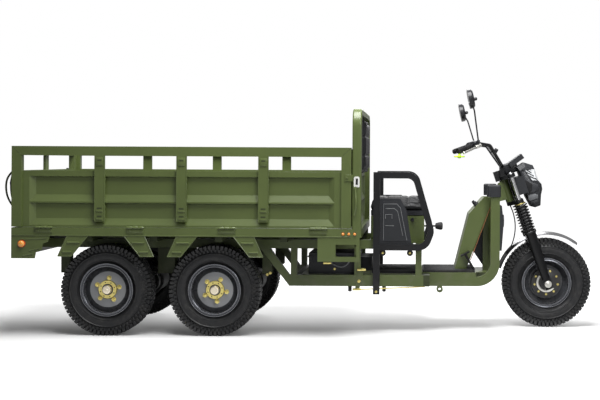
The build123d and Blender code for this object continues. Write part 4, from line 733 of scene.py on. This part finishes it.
class TRICYCLE_OT_cushions(bpy.types.Operator):
    """Seat and back cushion as swollen, sewn pads"""
    bl_idname = "tricycle.cushions"
    bl_label = "Cushions"

    def execute(self, context):
        swell = context.scene.tricycle_sizes.seat_swell
        self.pad("seat_pad", "seat_cushion", "seat", 2, swell, 0.024, ((0, 0.3), (0, 0.7)), 0.6)
        self.pad("back_pad", "back_cushion", "chassis", 0, swell, 0.014, ((2, 0.34), (2, 0.67)), 0.7)
        return {"FINISHED"}

    def pad(self, name, node, body, up, swell, corner, channels, fill):
        """One pad: up is the axis of its thickness, channels are (axis, share) of its sewn lines."""
        low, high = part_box(node)
        inner = (high - low) - Vector((1, 1, 1)) * 0.7 * swell
        bm = slab(inner, min(corner, min(inner) * 0.42), 4)
        middle = (low + high) / 2
        middle[up] = low[up] + inner[up] / 2
        bmesh.ops.translate(bm, verts=bm.verts[:], vec=middle)
        mesh = bpy.data.meshes.new(name)
        bm.to_mesh(mesh)
        bm.free()
        made = bpy.data.objects.new(name, mesh)
        bpy.context.scene.collection.objects.link(made)
        remesh = made.modifiers.new("skin", "REMESH")
        remesh.mode = "VOXEL"
        remesh.voxel_size = 0.006
        self.bake(made)
        self.inflate(made, up, low[up] + 0.3 * inner[up], swell)
        self.sew(made, low, high, up, channels)
        smooth = made.modifiers.new("skin", "SUBSURF")
        smooth.levels = smooth.render_levels = 1
        self.bake(made)
        made.data.polygons.foreach_set("use_smooth", [True] * len(made.data.polygons))
        made.data.materials.append(FINISHES["seat_vinyl"])
        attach(made, body)
        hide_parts(node)

    def bake(self, made):
        """The shape that the modifiers give becomes the mesh."""
        graph = bpy.context.evaluated_depsgraph_get()
        mesh = bpy.data.meshes.new_from_object(made.evaluated_get(graph))
        made.modifiers.clear()
        made.data = mesh

    def inflate(self, made, up, foot, swell):
        """Cloth under pressure, its foot held where the pad rests."""
        start = [vert.co.copy() for vert in made.data.vertices]
        held = made.vertex_groups.new(name="held")
        held.add([index for index, place in enumerate(start) if place[up] < foot], 1.0, "REPLACE")
        cloth = made.modifiers.new("swell", "CLOTH")
        cloth.settings.quality = 4
        cloth.settings.mass = 0.3
        cloth.settings.use_pressure = True
        cloth.settings.uniform_pressure_force = 4
        cloth.settings.tension_stiffness = 8
        cloth.settings.compression_stiffness = 8
        cloth.settings.bending_stiffness = 0.8
        cloth.settings.vertex_group_mass = "held"
        cloth.settings.effector_weights.gravity = 0
        cloth.collision_settings.use_collision = False
        scene = bpy.context.scene
        for step in range(1, 21):
            scene.frame_set(step)
        self.bake(made)
        scene.frame_set(1)
        for vert, place in zip(made.data.vertices, start):
            moved = vert.co - place
            if moved.length > swell:
                vert.co = place + moved.normalized() * swell

    def sew(self, made, low, high, up, channels):
        """Pressed lines where the cover is sewn through, and a seam round the edge."""
        channel_depth, channel_half = 0.007, 0.016
        seam_depth, seam_inset, seam_half = 0.004, 0.034, 0.011
        size = high - low
        others = [axis for axis in range(3) if axis != up]
        for vert in made.data.vertices:
            height = (vert.co[up] - low[up]) / size[up]
            if height < 0.4:
                continue
            sink = 0.0
            for axis, share in channels:
                gap = abs(vert.co[axis] - (low[axis] + share * size[axis]))
                sink += channel_depth * max(0.0, 1 - (gap / channel_half) ** 2) ** 2
            if height > 0.7:
                edge = min(min(vert.co[axis] - low[axis], high[axis] - vert.co[axis]) for axis in others)
                sink += seam_depth * max(0.0, 1 - ((edge - seam_inset) / seam_half) ** 2) ** 2
            vert.co[up] -= sink


class TRICYCLE_OT_fork_fittings(bpy.types.Operator):
    """Coil springs, yoke rings, caps, bolts and the axle's nuts"""
    bl_idname = "tricycle.fork_fittings"
    bl_label = "Fork fittings"

    def execute(self, context):
        springs = Piece("fork_coils")
        rings = Piece("yoke_rings")
        caps = Piece("yoke_caps")
        nuts = Piece("axle_nuts")
        for side in BOTH:
            leg = along(FRONT_AXLE + Vector((0, FORK_LEG_Y * side, 0)), FORK_AXIS, (1, 0, 0))
            springs.stamp(coil(0.0365, 0.0052, 9, 0.19), leg @ at(z=0.3655))
            springs.stamp(lathe([(0.0146, 0.367), (0.026, 0.367), (0.027, 0.46), (0.025, 0.55),
                                 (0.0146, 0.55)], 28), leg)
            springs.stamp(lathe([(0.016, 0.355), (0.0415, 0.355), (0.0425, 0.357), (0.0425, 0.3655),
                                 (0.0405, 0.368), (0.016, 0.368)], 40), leg)
            rings.stamp(lathe([(0.0145, 0.5555), (0.032, 0.5555), (0.0345, 0.5575), (0.0345, 0.5632),
                               (0.032, 0.565), (0.0145, 0.565)], 40), leg)
            caps.stamp(lathe([(0.0, 0.781), (0.009, 0.781), (0.0095, 0.777), (0.0165, 0.776), (0.018, 0.774),
                              (0.018, 0.7695)], 28), leg)
            nuts.stamp(lathe([(0.0, 0.168), (0.008, 0.168), (0.0095, 0.166), (0.0095, 0.1645),
                              (0.0165, 0.1645), (0.0185, 0.1625), (0.0185, 0.1555), (0.023, 0.155),
                              (0.023, 0.145)], 28), along(FRONT_AXLE, (0, side, 0), (1, 0, 0)))
        springs.finish("spring_black", "steering", "spring_steel", ("fork_springs",))
        rings.finish("yellow_zinc", "steering", "bright_steel")
        caps.finish("hard_chrome", "steering", "plated_tube")
        nuts.finish("zinc_plate", "steering", "bright_steel", angle=30)
        return {"FINISHED"}


class TRICYCLE_OT_bar_fittings(bpy.types.Operator):
    """Ribbed grips, lever pods, mirror glass and the bar's clamps"""
    bl_idname = "tricycle.bar_fittings"
    bl_label = "Bar fittings"

    def execute(self, context):
        names = ("grip_ribs", "mirror_glass", "mirror_joints", "lever_blades", "switch_boxes")
        ribs, glass, joints, blades, boxes = [Piece(name) for name in names]
        # Middle of each mirror's glass
        heads = {-1: (1.0363, -0.322, 1.5088), 1: (1.0073, 0.322, 1.4468)}
        for side in BOTH:
            end = Vector((0.9543, 0.370 * side, 1.1728))
            bend = Vector((1.0893, 0.262 * side, 1.2218))
            way = (bend - end).normalized()
            ahead = (Vector((1, 0, 0)) - way * way.x).normalized()
            rib = lathe([(0.0165, -0.0016), (0.0183, -0.0006), (0.0183, 0.0006), (0.0165, 0.0016)], 28)
            ribs.stamp(rib, *[along(end + way * (0.004 + index * 0.0054), way) for index in range(20)])
            ribs.stamp(lathe([(0.0165, -0.003), (0.021, -0.002), (0.021, 0.002), (0.0165, 0.003)], 28),
                       along(end + way * 0.1165, way))
            self.mirror(glass, joints, at(*heads[side]) @ Matrix.Rotation(radians(-12), 4, "Y"))
            joints.stamp(lathe([(0.0055, 0.012), (0.009, 0.012), (0.0105, 0.01), (0.0105, 0.0)], 6),
                         Matrix.Translation(bend + Vector((0, 0, 0.0105))))
            # Lever: places along the grip and ahead of it
            route = [end + way * far + ahead * out
                     for far, out in ((0.14, 0.032), (0.09, 0.0395), (0.05, 0.0445), (0.006, 0.0486))]
            blades.stamp(bent_rod(route, 0.0072))
            blades.stamp(slab((0.017, 0.017, 0.017), 0.006, 3), along(route[-1], way))
            clamp = end + way * 0.15 + ahead * 0.03
            blades.stamp(slab((0.022, 0.02, 0.05), 0.005, 2), along(clamp, way, ahead))
            place = along(end + way * 0.147, way)
            boxes.stamp(slab((0.05, 0.052, 0.036), 0.009, 3), place)
            boxes.stamp(slab((0.016, 0.012, 0.02), 0.004, 2), place @ at(-0.004, 0.028 * side))
            boxes.stamp(rod(0.0135, 0.036, 20, 0.003), along((1.2, 0.146 * side, 1.158), (0.5, 0, 0.85)))
        ribs.finish("grip_black", "steering", "grip_rubber")
        # The glass is darkened as a painted reflection
        glass.finish("mirror_face", "steering", "plated_tube")
        joints.finish("satin_black", "steering", "gloss_black_plastic")
        blades.finish("zinc_plate", "steering", "bright_steel")
        boxes.finish("satin_black", "steering", "gloss_black_plastic")
        shroud = Piece("instrument_shroud")
        shroud.stamp(slab((0.1, 0.062, 0.075), 0.014, 3), along((1.318, 0, 1.063), FORK_AXIS, (1, 0, 0)))
        shroud.finish("satin_black", "steering", "gloss_black_plastic")
        foot = at(0.962, -0.368, 1.1545)
        tip = Piece("lever_tip")
        tip.stamp(lathe([(0.0, -0.03), (0.008, -0.029), (0.013, -0.024), (0.014, -0.016), (0.009, -0.01),
                         (0.006, 0.002)], 24), foot)
        tip.stamp(slab((0.068, 0.02, 0.009), 0.003, 2), foot @ at(z=-0.019))
        tip.finish("lime_plastic", "steering", "grip_rubber")
        return {"FINISHED"}

    def mirror(self, glass, joints, place):
        """Oval glass and the ball joint behind it."""
        face = along((-0.0171, 0, 0), (-1, 0, 0), (0, 1, 0))
        oval = Matrix.Diagonal((0.079, 0.057, 1, 1))
        glass.stamp(lathe([(0.0, 0.0008), (0.98, 0.0006), (1.0, -0.001)], 48), place @ face @ oval)
        joints.stamp(lathe([(0.0, 0.024), (0.008, 0.022), (0.0115, 0.015), (0.011, 0.006),
                            (0.0095, 0.0)], 20), place @ along((0.0165, 0, -0.006), (1, 0, 0), (0, 1, 0)))


class TRICYCLE_OT_bed_fittings(bpy.types.Operator):
    """Hinge pins, hasps, lever handles, straps and bolts of the bed"""
    bl_idname = "tricycle.bed_fittings"
    bl_label = "Bed fittings"

    def execute(self, context):
        low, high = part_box("right_board_frame")
        middle = (low.x + high.x) / 2
        # Outer faces by body: places with X up, Y along the hinge and Z outwards
        faces = {name + "_board": along((middle, BED_FACE * side, 0), (0, side, 0))
                 for name, side in SIDES.items()}
        faces["tailgate"] = along((TAIL_FACE, 0, 0), (-1, 0, 0))
        self.hinges(faces)
        self.skirts()
        self.ends()
        for name, side in SIDES.items():
            self.hasp(name, side)
            face = faces[name + "_board"]
            self.stakes(name + "_board", [face @ at(0, u) for u in (-0.507, 0, 0.507)])
        self.stakes("tailgate", [faces["tailgate"]])
        return {"FINISHED"}

    def hinges(self, faces):
        """Pins, rolled knuckles and bolted leaves of the drop boards' hinges."""
        knuckle = 0.0345
        leaf_z = 0.6635
        pins = Piece("hinge_pins")
        leaves = Piece("hinge_leaves")
        for body, place in faces.items():
            count, pitch = (3, 0.42) if body == "tailgate" else (4, 0.566)
            rolled = Piece(body + "_knuckles")
            for u in [(index - (count - 1) / 2) * pitch for index in range(count)]:
                axis = place @ along((HINGE_Z, u, 0.007), (0, 1, 0))
                pins.stamp(rod(0.0045, 0.112, 16, 0.001), axis @ at(z=-0.056))
                for shift, piece in ((-knuckle, leaves), (0, rolled), (knuckle, leaves)):
                    piece.stamp(rod(0.0082, 0.0336, 22, 0.0014), axis @ at(z=shift - 0.0168))
                leaves.stamp(slab((0.022, 0.104, 0.0034), 0.0012, 2), place @ at(leaf_z, u, 0.0044))
                leaves.stamp(hexagon_bolt(0.008, 0.004),
                             *[place @ at(leaf_z, u + shift, 0.006) for shift in (-0.034, 0.034)])
            rolled.finish("olive_paint", body, "green_paint")
        pins.finish("olive_paint", "chassis", "green_paint")
        leaves.finish("olive_paint", "chassis", "green_paint")

    def skirts(self):
        """Rolled ribs and turned lips of the plates beside the wheels."""
        ribs = Piece("skirt_ribs")
        # Pressed lines of the tail wings: (X, Z) of both ends
        wing_lines = (((-1.758, 0.607), (-1.6, 0.615)), ((-1.706, 0.538), (-1.64, 0.552)),
                      ((-1.745, 0.507), (-1.684, 0.518)))
        for side in BOTH:
            for axle in AXLES:
                for way in (-1, 1):
                    self.skirt(ribs, side, axle + 0.02, way)
            for route in wing_lines:
                ribs.stamp(flat_rod(route, side * 0.6242, 0.0045, 2))
            ribs.stamp(window_frame(0.0635, 0.037, 0.022, 0.005),
                       along((0.2525, side * 0.6203, 0.547), (0, 1, 0), (1, 0, 0)))
            # Turned lip along the sill's lower edge
            ribs.stamp(slab((2.1, 0.007, 0.008), 0.0025, 2), at(-0.768, side * 0.6258, 0.6335))
        ribs.finish("olive_paint", "chassis", "green_paint")

    def skirt(self, ribs, side, middle, way):
        """Two ribs and three turned edges of the plate at one side of a wheel's middle."""
        corners = ((0.114, SILL_FOOT), (0.24, SILL_FOOT), (0.296, SKIRT_FOOT), (0.213, SKIRT_FOOT))
        near_top, far_top, far_foot, near_foot = [(middle + way * x, z) for x, z in corners]
        for drop in (0.0385, 0.0965):
            share = drop / (SILL_FOOT - SKIRT_FOOT)
            near = near_top[0] + (near_foot[0] - near_top[0]) * share + way * 0.019
            far = far_top[0] + (far_foot[0] - far_top[0]) * share - way * 0.019
            ribs.stamp(flat_rod([(x, SILL_FOOT - drop) for x in (near, far)], side * 0.6282, 0.0058, 2))
        for route in ((near_top, near_foot), (far_top, far_foot), (near_foot, far_foot)):
            ribs.stamp(flat_rod(route, side * 0.6248, 0.0034))

    def ends(self):
        """Strips of painted shade behind the boards' front gaps, latch bails, domed side lamps and mitre lines."""
        names = ("gap_strips", "side_lamp_domes", "side_lamp_cores", "latch_bails")
        strips, domes, cores, bails = [Piece(name) for name in names]
        # Side lamps: X, Z, radius and height
        lamps = [(-1.753, 0.581, 0.02, 0.012)] + [(x, 0.651, 0.008, 0.008) for x in (0.307, 0.271, 0.235)]
        # A bail's bend: share of its reach and Z
        bend = ((0.08, 1.034), (0.85, 1.0), (1.12, 0.93), (0.8, 0.85), (0.17, 0.81))
        for name, side in SIDES.items():
            # A dark olive strip behind each gap: painted shade
            strips.stamp(slab((0.0185, 0.006, 0.48), 0.001), at(0.2813, side * 0.58, 0.937))
            for x, z, r, tall in lamps:
                place = along((x, side * (BED_FACE + tall), z), (0, side, 0))
                domes.stamp(lathe([(0.0, r * 0.34), (r * 0.4, r * 0.3), (r * 0.75, r * 0.17),
                                   (r * 0.98, -0.001)], 28), place)
                cores.stamp(lathe([(r * 1.12, -0.002), (r * 1.12, -tall), (r * 0.98, -tall),
                                   (r * 0.98, -0.002), (r * 1.12, -0.002)], 28), place)
            for edge, reach in ((-0.015, 0.05), (0.015, 0.031)):
                y = side * 0.54 + edge
                bails.stamp(bent_rod([(-1.825 - reach * out, y, z) for out, z in bend], 0.006))
            mitres = Piece(name + "_mitres")
            for outer, inner in ((TAIL_FACE + 0.0005, -1.7575), (0.2835, 0.2225)):
                mitres.stamp(flat_rod(((outer, 1.1855), (inner, 1.1295)), side * 0.6249, 0.0009))
            mitres.finish("underbody_olive", name + "_board", "green_paint")
        strips.finish("underbody_olive", "chassis", "green_paint")
        domes.finish("amber_lens", "chassis", "amber_lens")
        cores.finish("red_lens", "chassis", "red_lens")
        bails.finish("underbody_olive", "tailgate", "spring_steel")

    def stakes(self, body, places):
        """Strap bars, slots drawn as dark plates of painted shade, and weld beads of a board's stakes; a place has
        X up and Z out of the face.
        """
        straps = Piece(body + "_straps")
        slots = Piece(body + "_strap_slots")
        for place in places:
            for z in (0.7365, 0.7865):
                straps.stamp(slab((0.011, 0.042, 0.0045), 0.0016, 2), place @ at(z, 0, 0.0024))
                # Each slot is a dark olive plate: painted shade in the opening
                slots.stamp(slab((0.01, 0.03, 0.0008), 0), place @ at(z + 0.016, 0, 0.0002))
            straps.stamp(slab((0.052, 0.042, 0.0046), 0.002, 2), place @ at(1.092, 0, 0.0024))
            slots.stamp(slab((0.01, 0.026, 0.0008), 0), place @ at(1.1, 0, 0.0046))
            for edge in (-1, 1):
                weld = along((0.7215, edge * 0.0302, -0.0004), (1, 0, 0))
                straps.stamp(rod(0.0022, 0.405, 8), place @ weld)
                beads = [place @ along((0.735 + index * 0.034, edge * 0.0316, -0.0145), (1, 0, 0))
                         for index in range(9)]
                straps.stamp(rod(0.0026, 0.016, 8, 0.001), *beads)
        straps.finish("olive_paint", body, "green_paint")
        slots.finish("underbody_olive", body, "green_paint")

    def hasp(self, name, side):
        """Hasp plate, latch lever and the board's strap beside them."""
        x = 0.318
        outline = [(-0.014, -0.033), (0.014, -0.033), (0.018, -0.028), (0.018, 0.025), (0.011, 0.033),
                   (-0.011, 0.033), (-0.018, 0.025), (-0.018, -0.028)]
        plate = Piece(name + "_hasp")
        plate.stamp(prism(outline, 0.003), flank(side, x, BED_FACE, 0.974))
        plate.stamp(hexagon_bolt(0.009, 0.004), *[flank(side, x, BED_FACE + 0.003, z) for z in (0.948, 1.0)])
        plate.finish("pale_zinc", "chassis", "bright_steel", angle=30)
        # The slot is a near-black plate: painted shade in the opening
        slot = Piece(name + "_hasp_slot")
        slot.stamp(slab((0.015, 0.002, 0.038), 0.0009), at(x, side * (BED_FACE + 0.0025), 0.975))
        slot.finish("recess_black", "chassis", "black_paint")
        # Lever: X, distance from the bed's face and Z
        route = ((0.309, 0.007, 0.936), (0.312, 0.009, 0.9), (0.316, 0.019, 0.85), (0.312, 0.013, 0.8),
                 (0.303, 0.007, 0.772), (0.301, 0.007, 0.765))
        lever = Piece(name + "_latch_lever")
        lever.stamp(bent_rod([(x, side * (BED_FACE + out), z) for x, out, z in route], 0.0075))
        lever.stamp(rod(0.011, 0.012, 20, 0.002), along((0.309, side * BED_FACE, 0.934), (0, side, 0)))
        lever.finish("olive_paint", "chassis", "green_paint")
        strap = Piece(name + "_board_strap")
        strap.stamp(slab((0.05, 0.005, 0.042), 0.0012), at(0.2685, side * (BED_FACE + 0.0028), 0.998))
        strap.stamp(hexagon_bolt(0.012, 0.006), flank(side, 0.256, BED_FACE + 0.005, 0.998))
        strap.finish("olive_paint", name + "_board", "green_paint")


class TRICYCLE_OT_driver_fittings(bpy.types.Operator):
    """Guard mouldings, bolts, mat ribs, key lock, pedal rod and lamp faces"""
    bl_idname = "tricycle.driver_fittings"
    bl_label = "Driver's place"

    def execute(self, context):
        self.guard_lines()
        self.mat()
        self.controls()
        self.brake_rod()
        self.springs()
        self.lamp()
        self.liner()
        self.tail()
        return {"FINISHED"}

    def guard_lines(self):
        """Raised lines of the guard panels, drawn grey as painted highlights, and bolts of their frames."""
        lines = Piece("guard_lines")
        bolts = Piece("guard_bolts")
        # Routes of (X, Z)
        routes = (((0.478, 0.596), (0.478, 0.829), (0.562, 0.829), (0.585, 0.806), (0.628, 0.596)),
                  ((0.49, 0.8), (0.548, 0.8), (0.568, 0.782), (0.602, 0.626)),
                  ((0.49, 0.735), (0.49, 0.762), (0.532, 0.762), (0.532, 0.735)),
                  ((0.49, 0.69), (0.545, 0.69)))
        for side in BOTH:
            for route in routes:
                # The grey of these lines is painted highlight on the black moulding
                lines.stamp(flat_rod(route, side * GUARD_FACE, 0.0016))
            bolts.stamp(hexagon_bolt(0.0115, 0.007), *[flank(side, x, 0.36, 0.514) for x in (0.473, 0.648)])
            bolts.stamp(hexagon_bolt(0.0125, 0.008), flank(side, 0.433, 0.392, 0.268))
        lines.finish("line_grey", "chassis", "gloss_black_plastic")
        bolts.finish("yellow_zinc", "chassis", "bright_steel", angle=30)

    def mat(self):
        low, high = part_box("floor_mat")
        margin = 0.015
        count = 16
        pitch = (high.y - low.y - 2 * margin) / count
        middle = (low.x + high.x) / 2
        rib = slab((high.x - low.x - 0.02, 0.012, 0.004), 0.0015)
        rows = [low.y + margin + pitch * (index + 0.5) for index in range(count)]
        places = [at(middle, y, high.z + 0.0008) for y in rows]
        Piece("mat_ribs").stamp(rib, *places).finish("mat_black", "chassis", "mat_rubber")

    def controls(self):
        """Shield knob, seat lock, parking lever's knob and pedal rod."""
        place = along((1.0895, -0.096, 0.815), (-0.75, 0, 0.66), (0, 1, 0))
        knobs = Piece("shield_knobs")
        knobs.stamp(lathe([(0.0, 0.03), (0.011, 0.029), (0.014, 0.025), (0.014, 0.012), (0.019, 0.01),
                           (0.019, -0.004)], 28), place)
        knobs.stamp(slab((0.004, 0.02, 0.012), 0.001), place @ at(z=0.034))
        knobs.stamp(lathe([(0.0, 0.012), (0.005, 0.012), (0.006, 0.014), (0.0105, 0.0135), (0.0115, 0.011),
                           (0.0115, 0.0)], 28), along((0.662, -0.2148, 0.722), (0, -1, 0)))
        knobs.finish("satin_black", "chassis", "gloss_black_plastic")
        grip = Piece("parking_knob")
        grip.stamp(lathe([(0.0, 0.052), (0.018, 0.051), (0.0245, 0.046), (0.026, 0.037), (0.021, 0.012),
                          (0.017, 0.003), (0.0, 0.002)], 32), along((0.81, -0.203, 0.68), (1, 0, 0)))
        grip.finish("grip_black", "chassis", "grip_rubber")
        rods = Piece("pedal_rod")
        rods.stamp(bent_rod([(1.046, -0.166, 0.452), (1.085, -0.162, 0.56), (1.19, -0.152, 0.8335)], 0.003))
        rods.finish("copper_rod", "chassis", "bright_steel")

    def brake_rod(self):
        """Studs, lever plate, clevises and rod at the right rail, the battery's hose and the tray."""
        right = SIDES["right"]
        studs = Piece("rail_studs")
        for side in BOTH:
            places = [along((x, side * RAIL_Y, 0.298), (0, 0, -1)) for x in (0.262, 0.482)]
            studs.stamp(rod(0.012, 0.036, 20, 0.003), *places)
        studs.finish("black_enamel", "chassis", "black_paint")
        outline = [(0.295, 0.274), (0.3235, 0.2807), (0.339, 0.3386), (0.3557, 0.4157), (0.3235, 0.4157),
                   (0.304, 0.3386)]
        plate = Piece("brake_lever_plate").stamp(prism(outline, 0.005), flank(right, 0, RAIL_FACE, 0))
        plate.finish("olive_paint", "chassis", "green_paint")
        gold = Piece("brake_clevises")
        for x, z in ((0.337, 0.405), (0.308, 0.279)):
            gold.stamp(slab((0.056, 0.014, 0.014), 0.0028, 2), at(x, -0.3605, z))
            gold.stamp(hexagon_bolt(0.01, 0.004), flank(right, x + 0.008, 0.367, z))
        gold.stamp(bent_rod([(0.33, -0.3605, 0.279), (0.56, -0.352, 0.288), (0.745, -0.342, 0.2965)], 0.0036))
        gold.stamp(slab((0.052, 0.014, 0.013), 0.0028, 2), at(0.113, -0.2955, 0.441))
        gold.stamp(hexagon_bolt(0.016, 0.009), flank(right, 0.321, 0.357, 0.331))
        gold.stamp(hexagon_bolt(0.014, 0.01), flank(right, -0.268, 0.3612, 0.371),
                   flank(right, -0.249, 0.3612, 0.381))
        gold.stamp(hexagon_bolt(0.012, 0.008), flank(right, 0.16, 0.29, 0.403))
        gold.finish("yellow_zinc", "chassis", "bright_steel", angle=30)
        route = ((0.136, 0.441), (0.18, 0.414), (0.235, 0.416), (0.262, 0.462))
        hose = Piece("battery_hose")
        hose.stamp(bent_rod([(x, -BATTERY_FACE, z) for x, z in route], 0.0052))
        hose.finish("line_grey", "chassis", "black_plastic")
        # The tray is drawn in the near black of painted shade
        tray = Piece("cable_tray").stamp(slab((0.315, 0.44, 0.02), 0.003, 2), at(0.5545, 0, 0.38))
        tray.finish("recess_black", "chassis", "black_plastic")

    def springs(self):
        """Bent bolts round the axles and leaf springs, and the plates that close them."""
        bands = Piece("spring_bolts")
        # One bolt: share of its half width, and Z
        bend = ((-1, 0.226), (-1, 0.372), (-0.4, 0.392), (0.4, 0.392), (1, 0.372), (1, 0.226))
        for axle in AXLES:
            for y in (-RAIL_Y, RAIL_Y):
                for shift in (-0.045, 0.045):
                    route = [(axle + shift, y + share * 0.031, z) for share, z in bend]
                    bands.stamp(bent_rod(route, 0.0055, False, 2))
                bands.stamp(slab((0.13, 0.09, 0.01), 0.002), at(axle, y, 0.2465))
        bands.finish("spring_black", "chassis", "spring_steel")

    def lamp(self):
        """Cheeks, lower facets and lens bars of the headlamp, drawn in pixels of the camera's side view; a lighter
        facet is painted light and a near-black recess is painted shade.
        """
        pixel = 0.006665
        middle_px, middle_py = 417, 158
        level_px, lean = 160, 0.0055

        def spot(px, py):
            """X and Z in metres of a pixel; the view leans, and its lean is none at level_px."""
            right = px - middle_px
            down = py - middle_py - (px - level_px) * lean
            return CAMERA[0] + right * pixel, CAMERA[2] - down * pixel

        # The facet plate is lighter grey, painted light, and the recess plate near black, painted shade
        # Plates on each flank: name, finish, thickness, outline in pixels
        plates = (("lamp_cheek", "lamp_black", 0.006,
                   ((521.5, 172), (525, 171), (531.5, 181.5), (538.5, 184.5), (538.8, 189), (534, 192.5),
                    (527.5, 193), (524.5, 185))),
                  ("lamp_recess", "recess_black", 0.0075,
                   ((523.6, 179), (532.6, 184), (532.2, 190.6), (529.4, 194), (526.8, 188))),
                  ("lamp_facet", "lamp_grey", 0.005,
                   ((528, 195.6), (535, 193.6), (538.5, 195), (538.3, 198.4), (531, 200.8), (529, 200))),
                  ("lamp_chin", "lamp_black", 0.004,
                   ((531.5, 201.6), (538.2, 199.6), (538, 202), (534.6, 203.2))),
                  ("lamp_brow", "lamp_black", 0.004,
                   ((521, 170.6), (525.6, 167.6), (532, 169.6), (525, 170.2))))
        for name, material, thick, outline in plates:
            piece = Piece(name)
            for side in BOTH:
                points = [spot(*corner) for corner in outline]
                bm = prism([(x, -side * z) for x, z in points], thick)
                rims = [edge for edge in bm.edges if all(vert.co.z > thick / 2 for vert in edge.verts)]
                bevel(bm, rims, thick * 0.7, 2)
                piece.stamp(bm, flank(side, 0, 0.088, 0))
            piece.finish(material, "steering", "gloss_black_plastic", angle=25)
        bars = Piece("lamp_bars")
        for side in BOTH:
            for ends in (((524.6, 168.9), (531.4, 172.6)), ((526.2, 172), (533.6, 175.8)),
                         ((529, 176), (537.2, 179.4))):
                bars.stamp(flat_rod([spot(*end) for end in ends], side * 0.0883, 0.0036))
        bars.finish("lamp_black", "steering", "gloss_black_plastic")

    def liner(self):
        """Black liner between the leg shield and the down tube."""
        outline = [(1.058, 0.52), (1.136, 0.405), (1.136, 0.81), (1.1, 0.79), (1.062, 0.7)]
        inside = Piece("shield_liner")
        inside.stamp(prism([(x, -z) for x, z in outline], 0.004), flank(1, 0, 0, 0))
        inside.finish("moulded_black", "chassis", "black_plastic")

    def tail(self):
        face = Piece("tail_lamp_lenses")
        places = [at(-1.833, side * 0.46, 0.5515) for side in BOTH]
        face.stamp(slab((0.006, 0.146, 0.052), 0.0025, 2), *places)
        face.finish("red_lens", "chassis", "red_lens")


class TRICYCLE_PT_panel(bpy.types.Panel):
    """Sidebar list of the dressing's steps"""
    bl_idname = "TRICYCLE_PT_panel"
    bl_label = "Cargo tricycle"
    bl_space_type = "VIEW_3D"
    bl_region_type = "UI"
    bl_category = "Tricycle"

    def draw(self, context):
        for group in (context.scene.tricycle_colours, context.scene.tricycle_sizes):
            for name in group.bl_rna.properties.keys():
                if name not in ("rna_type", "name"):
                    self.layout.prop(group, name)
        for step in OPERATORS:
            self.layout.operator(step.bl_idname)


OPERATORS = (TRICYCLE_OT_stage, TRICYCLE_OT_finishes, TRICYCLE_OT_tyres, TRICYCLE_OT_wheel_fittings,
             TRICYCLE_OT_cushions, TRICYCLE_OT_fork_fittings, TRICYCLE_OT_bar_fittings,
             TRICYCLE_OT_bed_fittings, TRICYCLE_OT_driver_fittings)
CLASSES = (TricycleColours, TricycleSizes, *OPERATORS, TRICYCLE_PT_panel)


def register():
    for item in CLASSES:
        bpy.utils.register_class(item)
    bpy.types.Scene.tricycle_colours = PointerProperty(type=TricycleColours)
    bpy.types.Scene.tricycle_sizes = PointerProperty(type=TricycleSizes)


def unregister():
    del bpy.types.Scene.tricycle_sizes
    del bpy.types.Scene.tricycle_colours
    for item in reversed(CLASSES):
        bpy.utils.unregister_class(item)


def main():
    register()
    for step in OPERATORS:
        group, name = step.bl_idname.split(".")
        getattr(getattr(bpy.ops, group), name)()


if __name__ == "__main__":
    main()
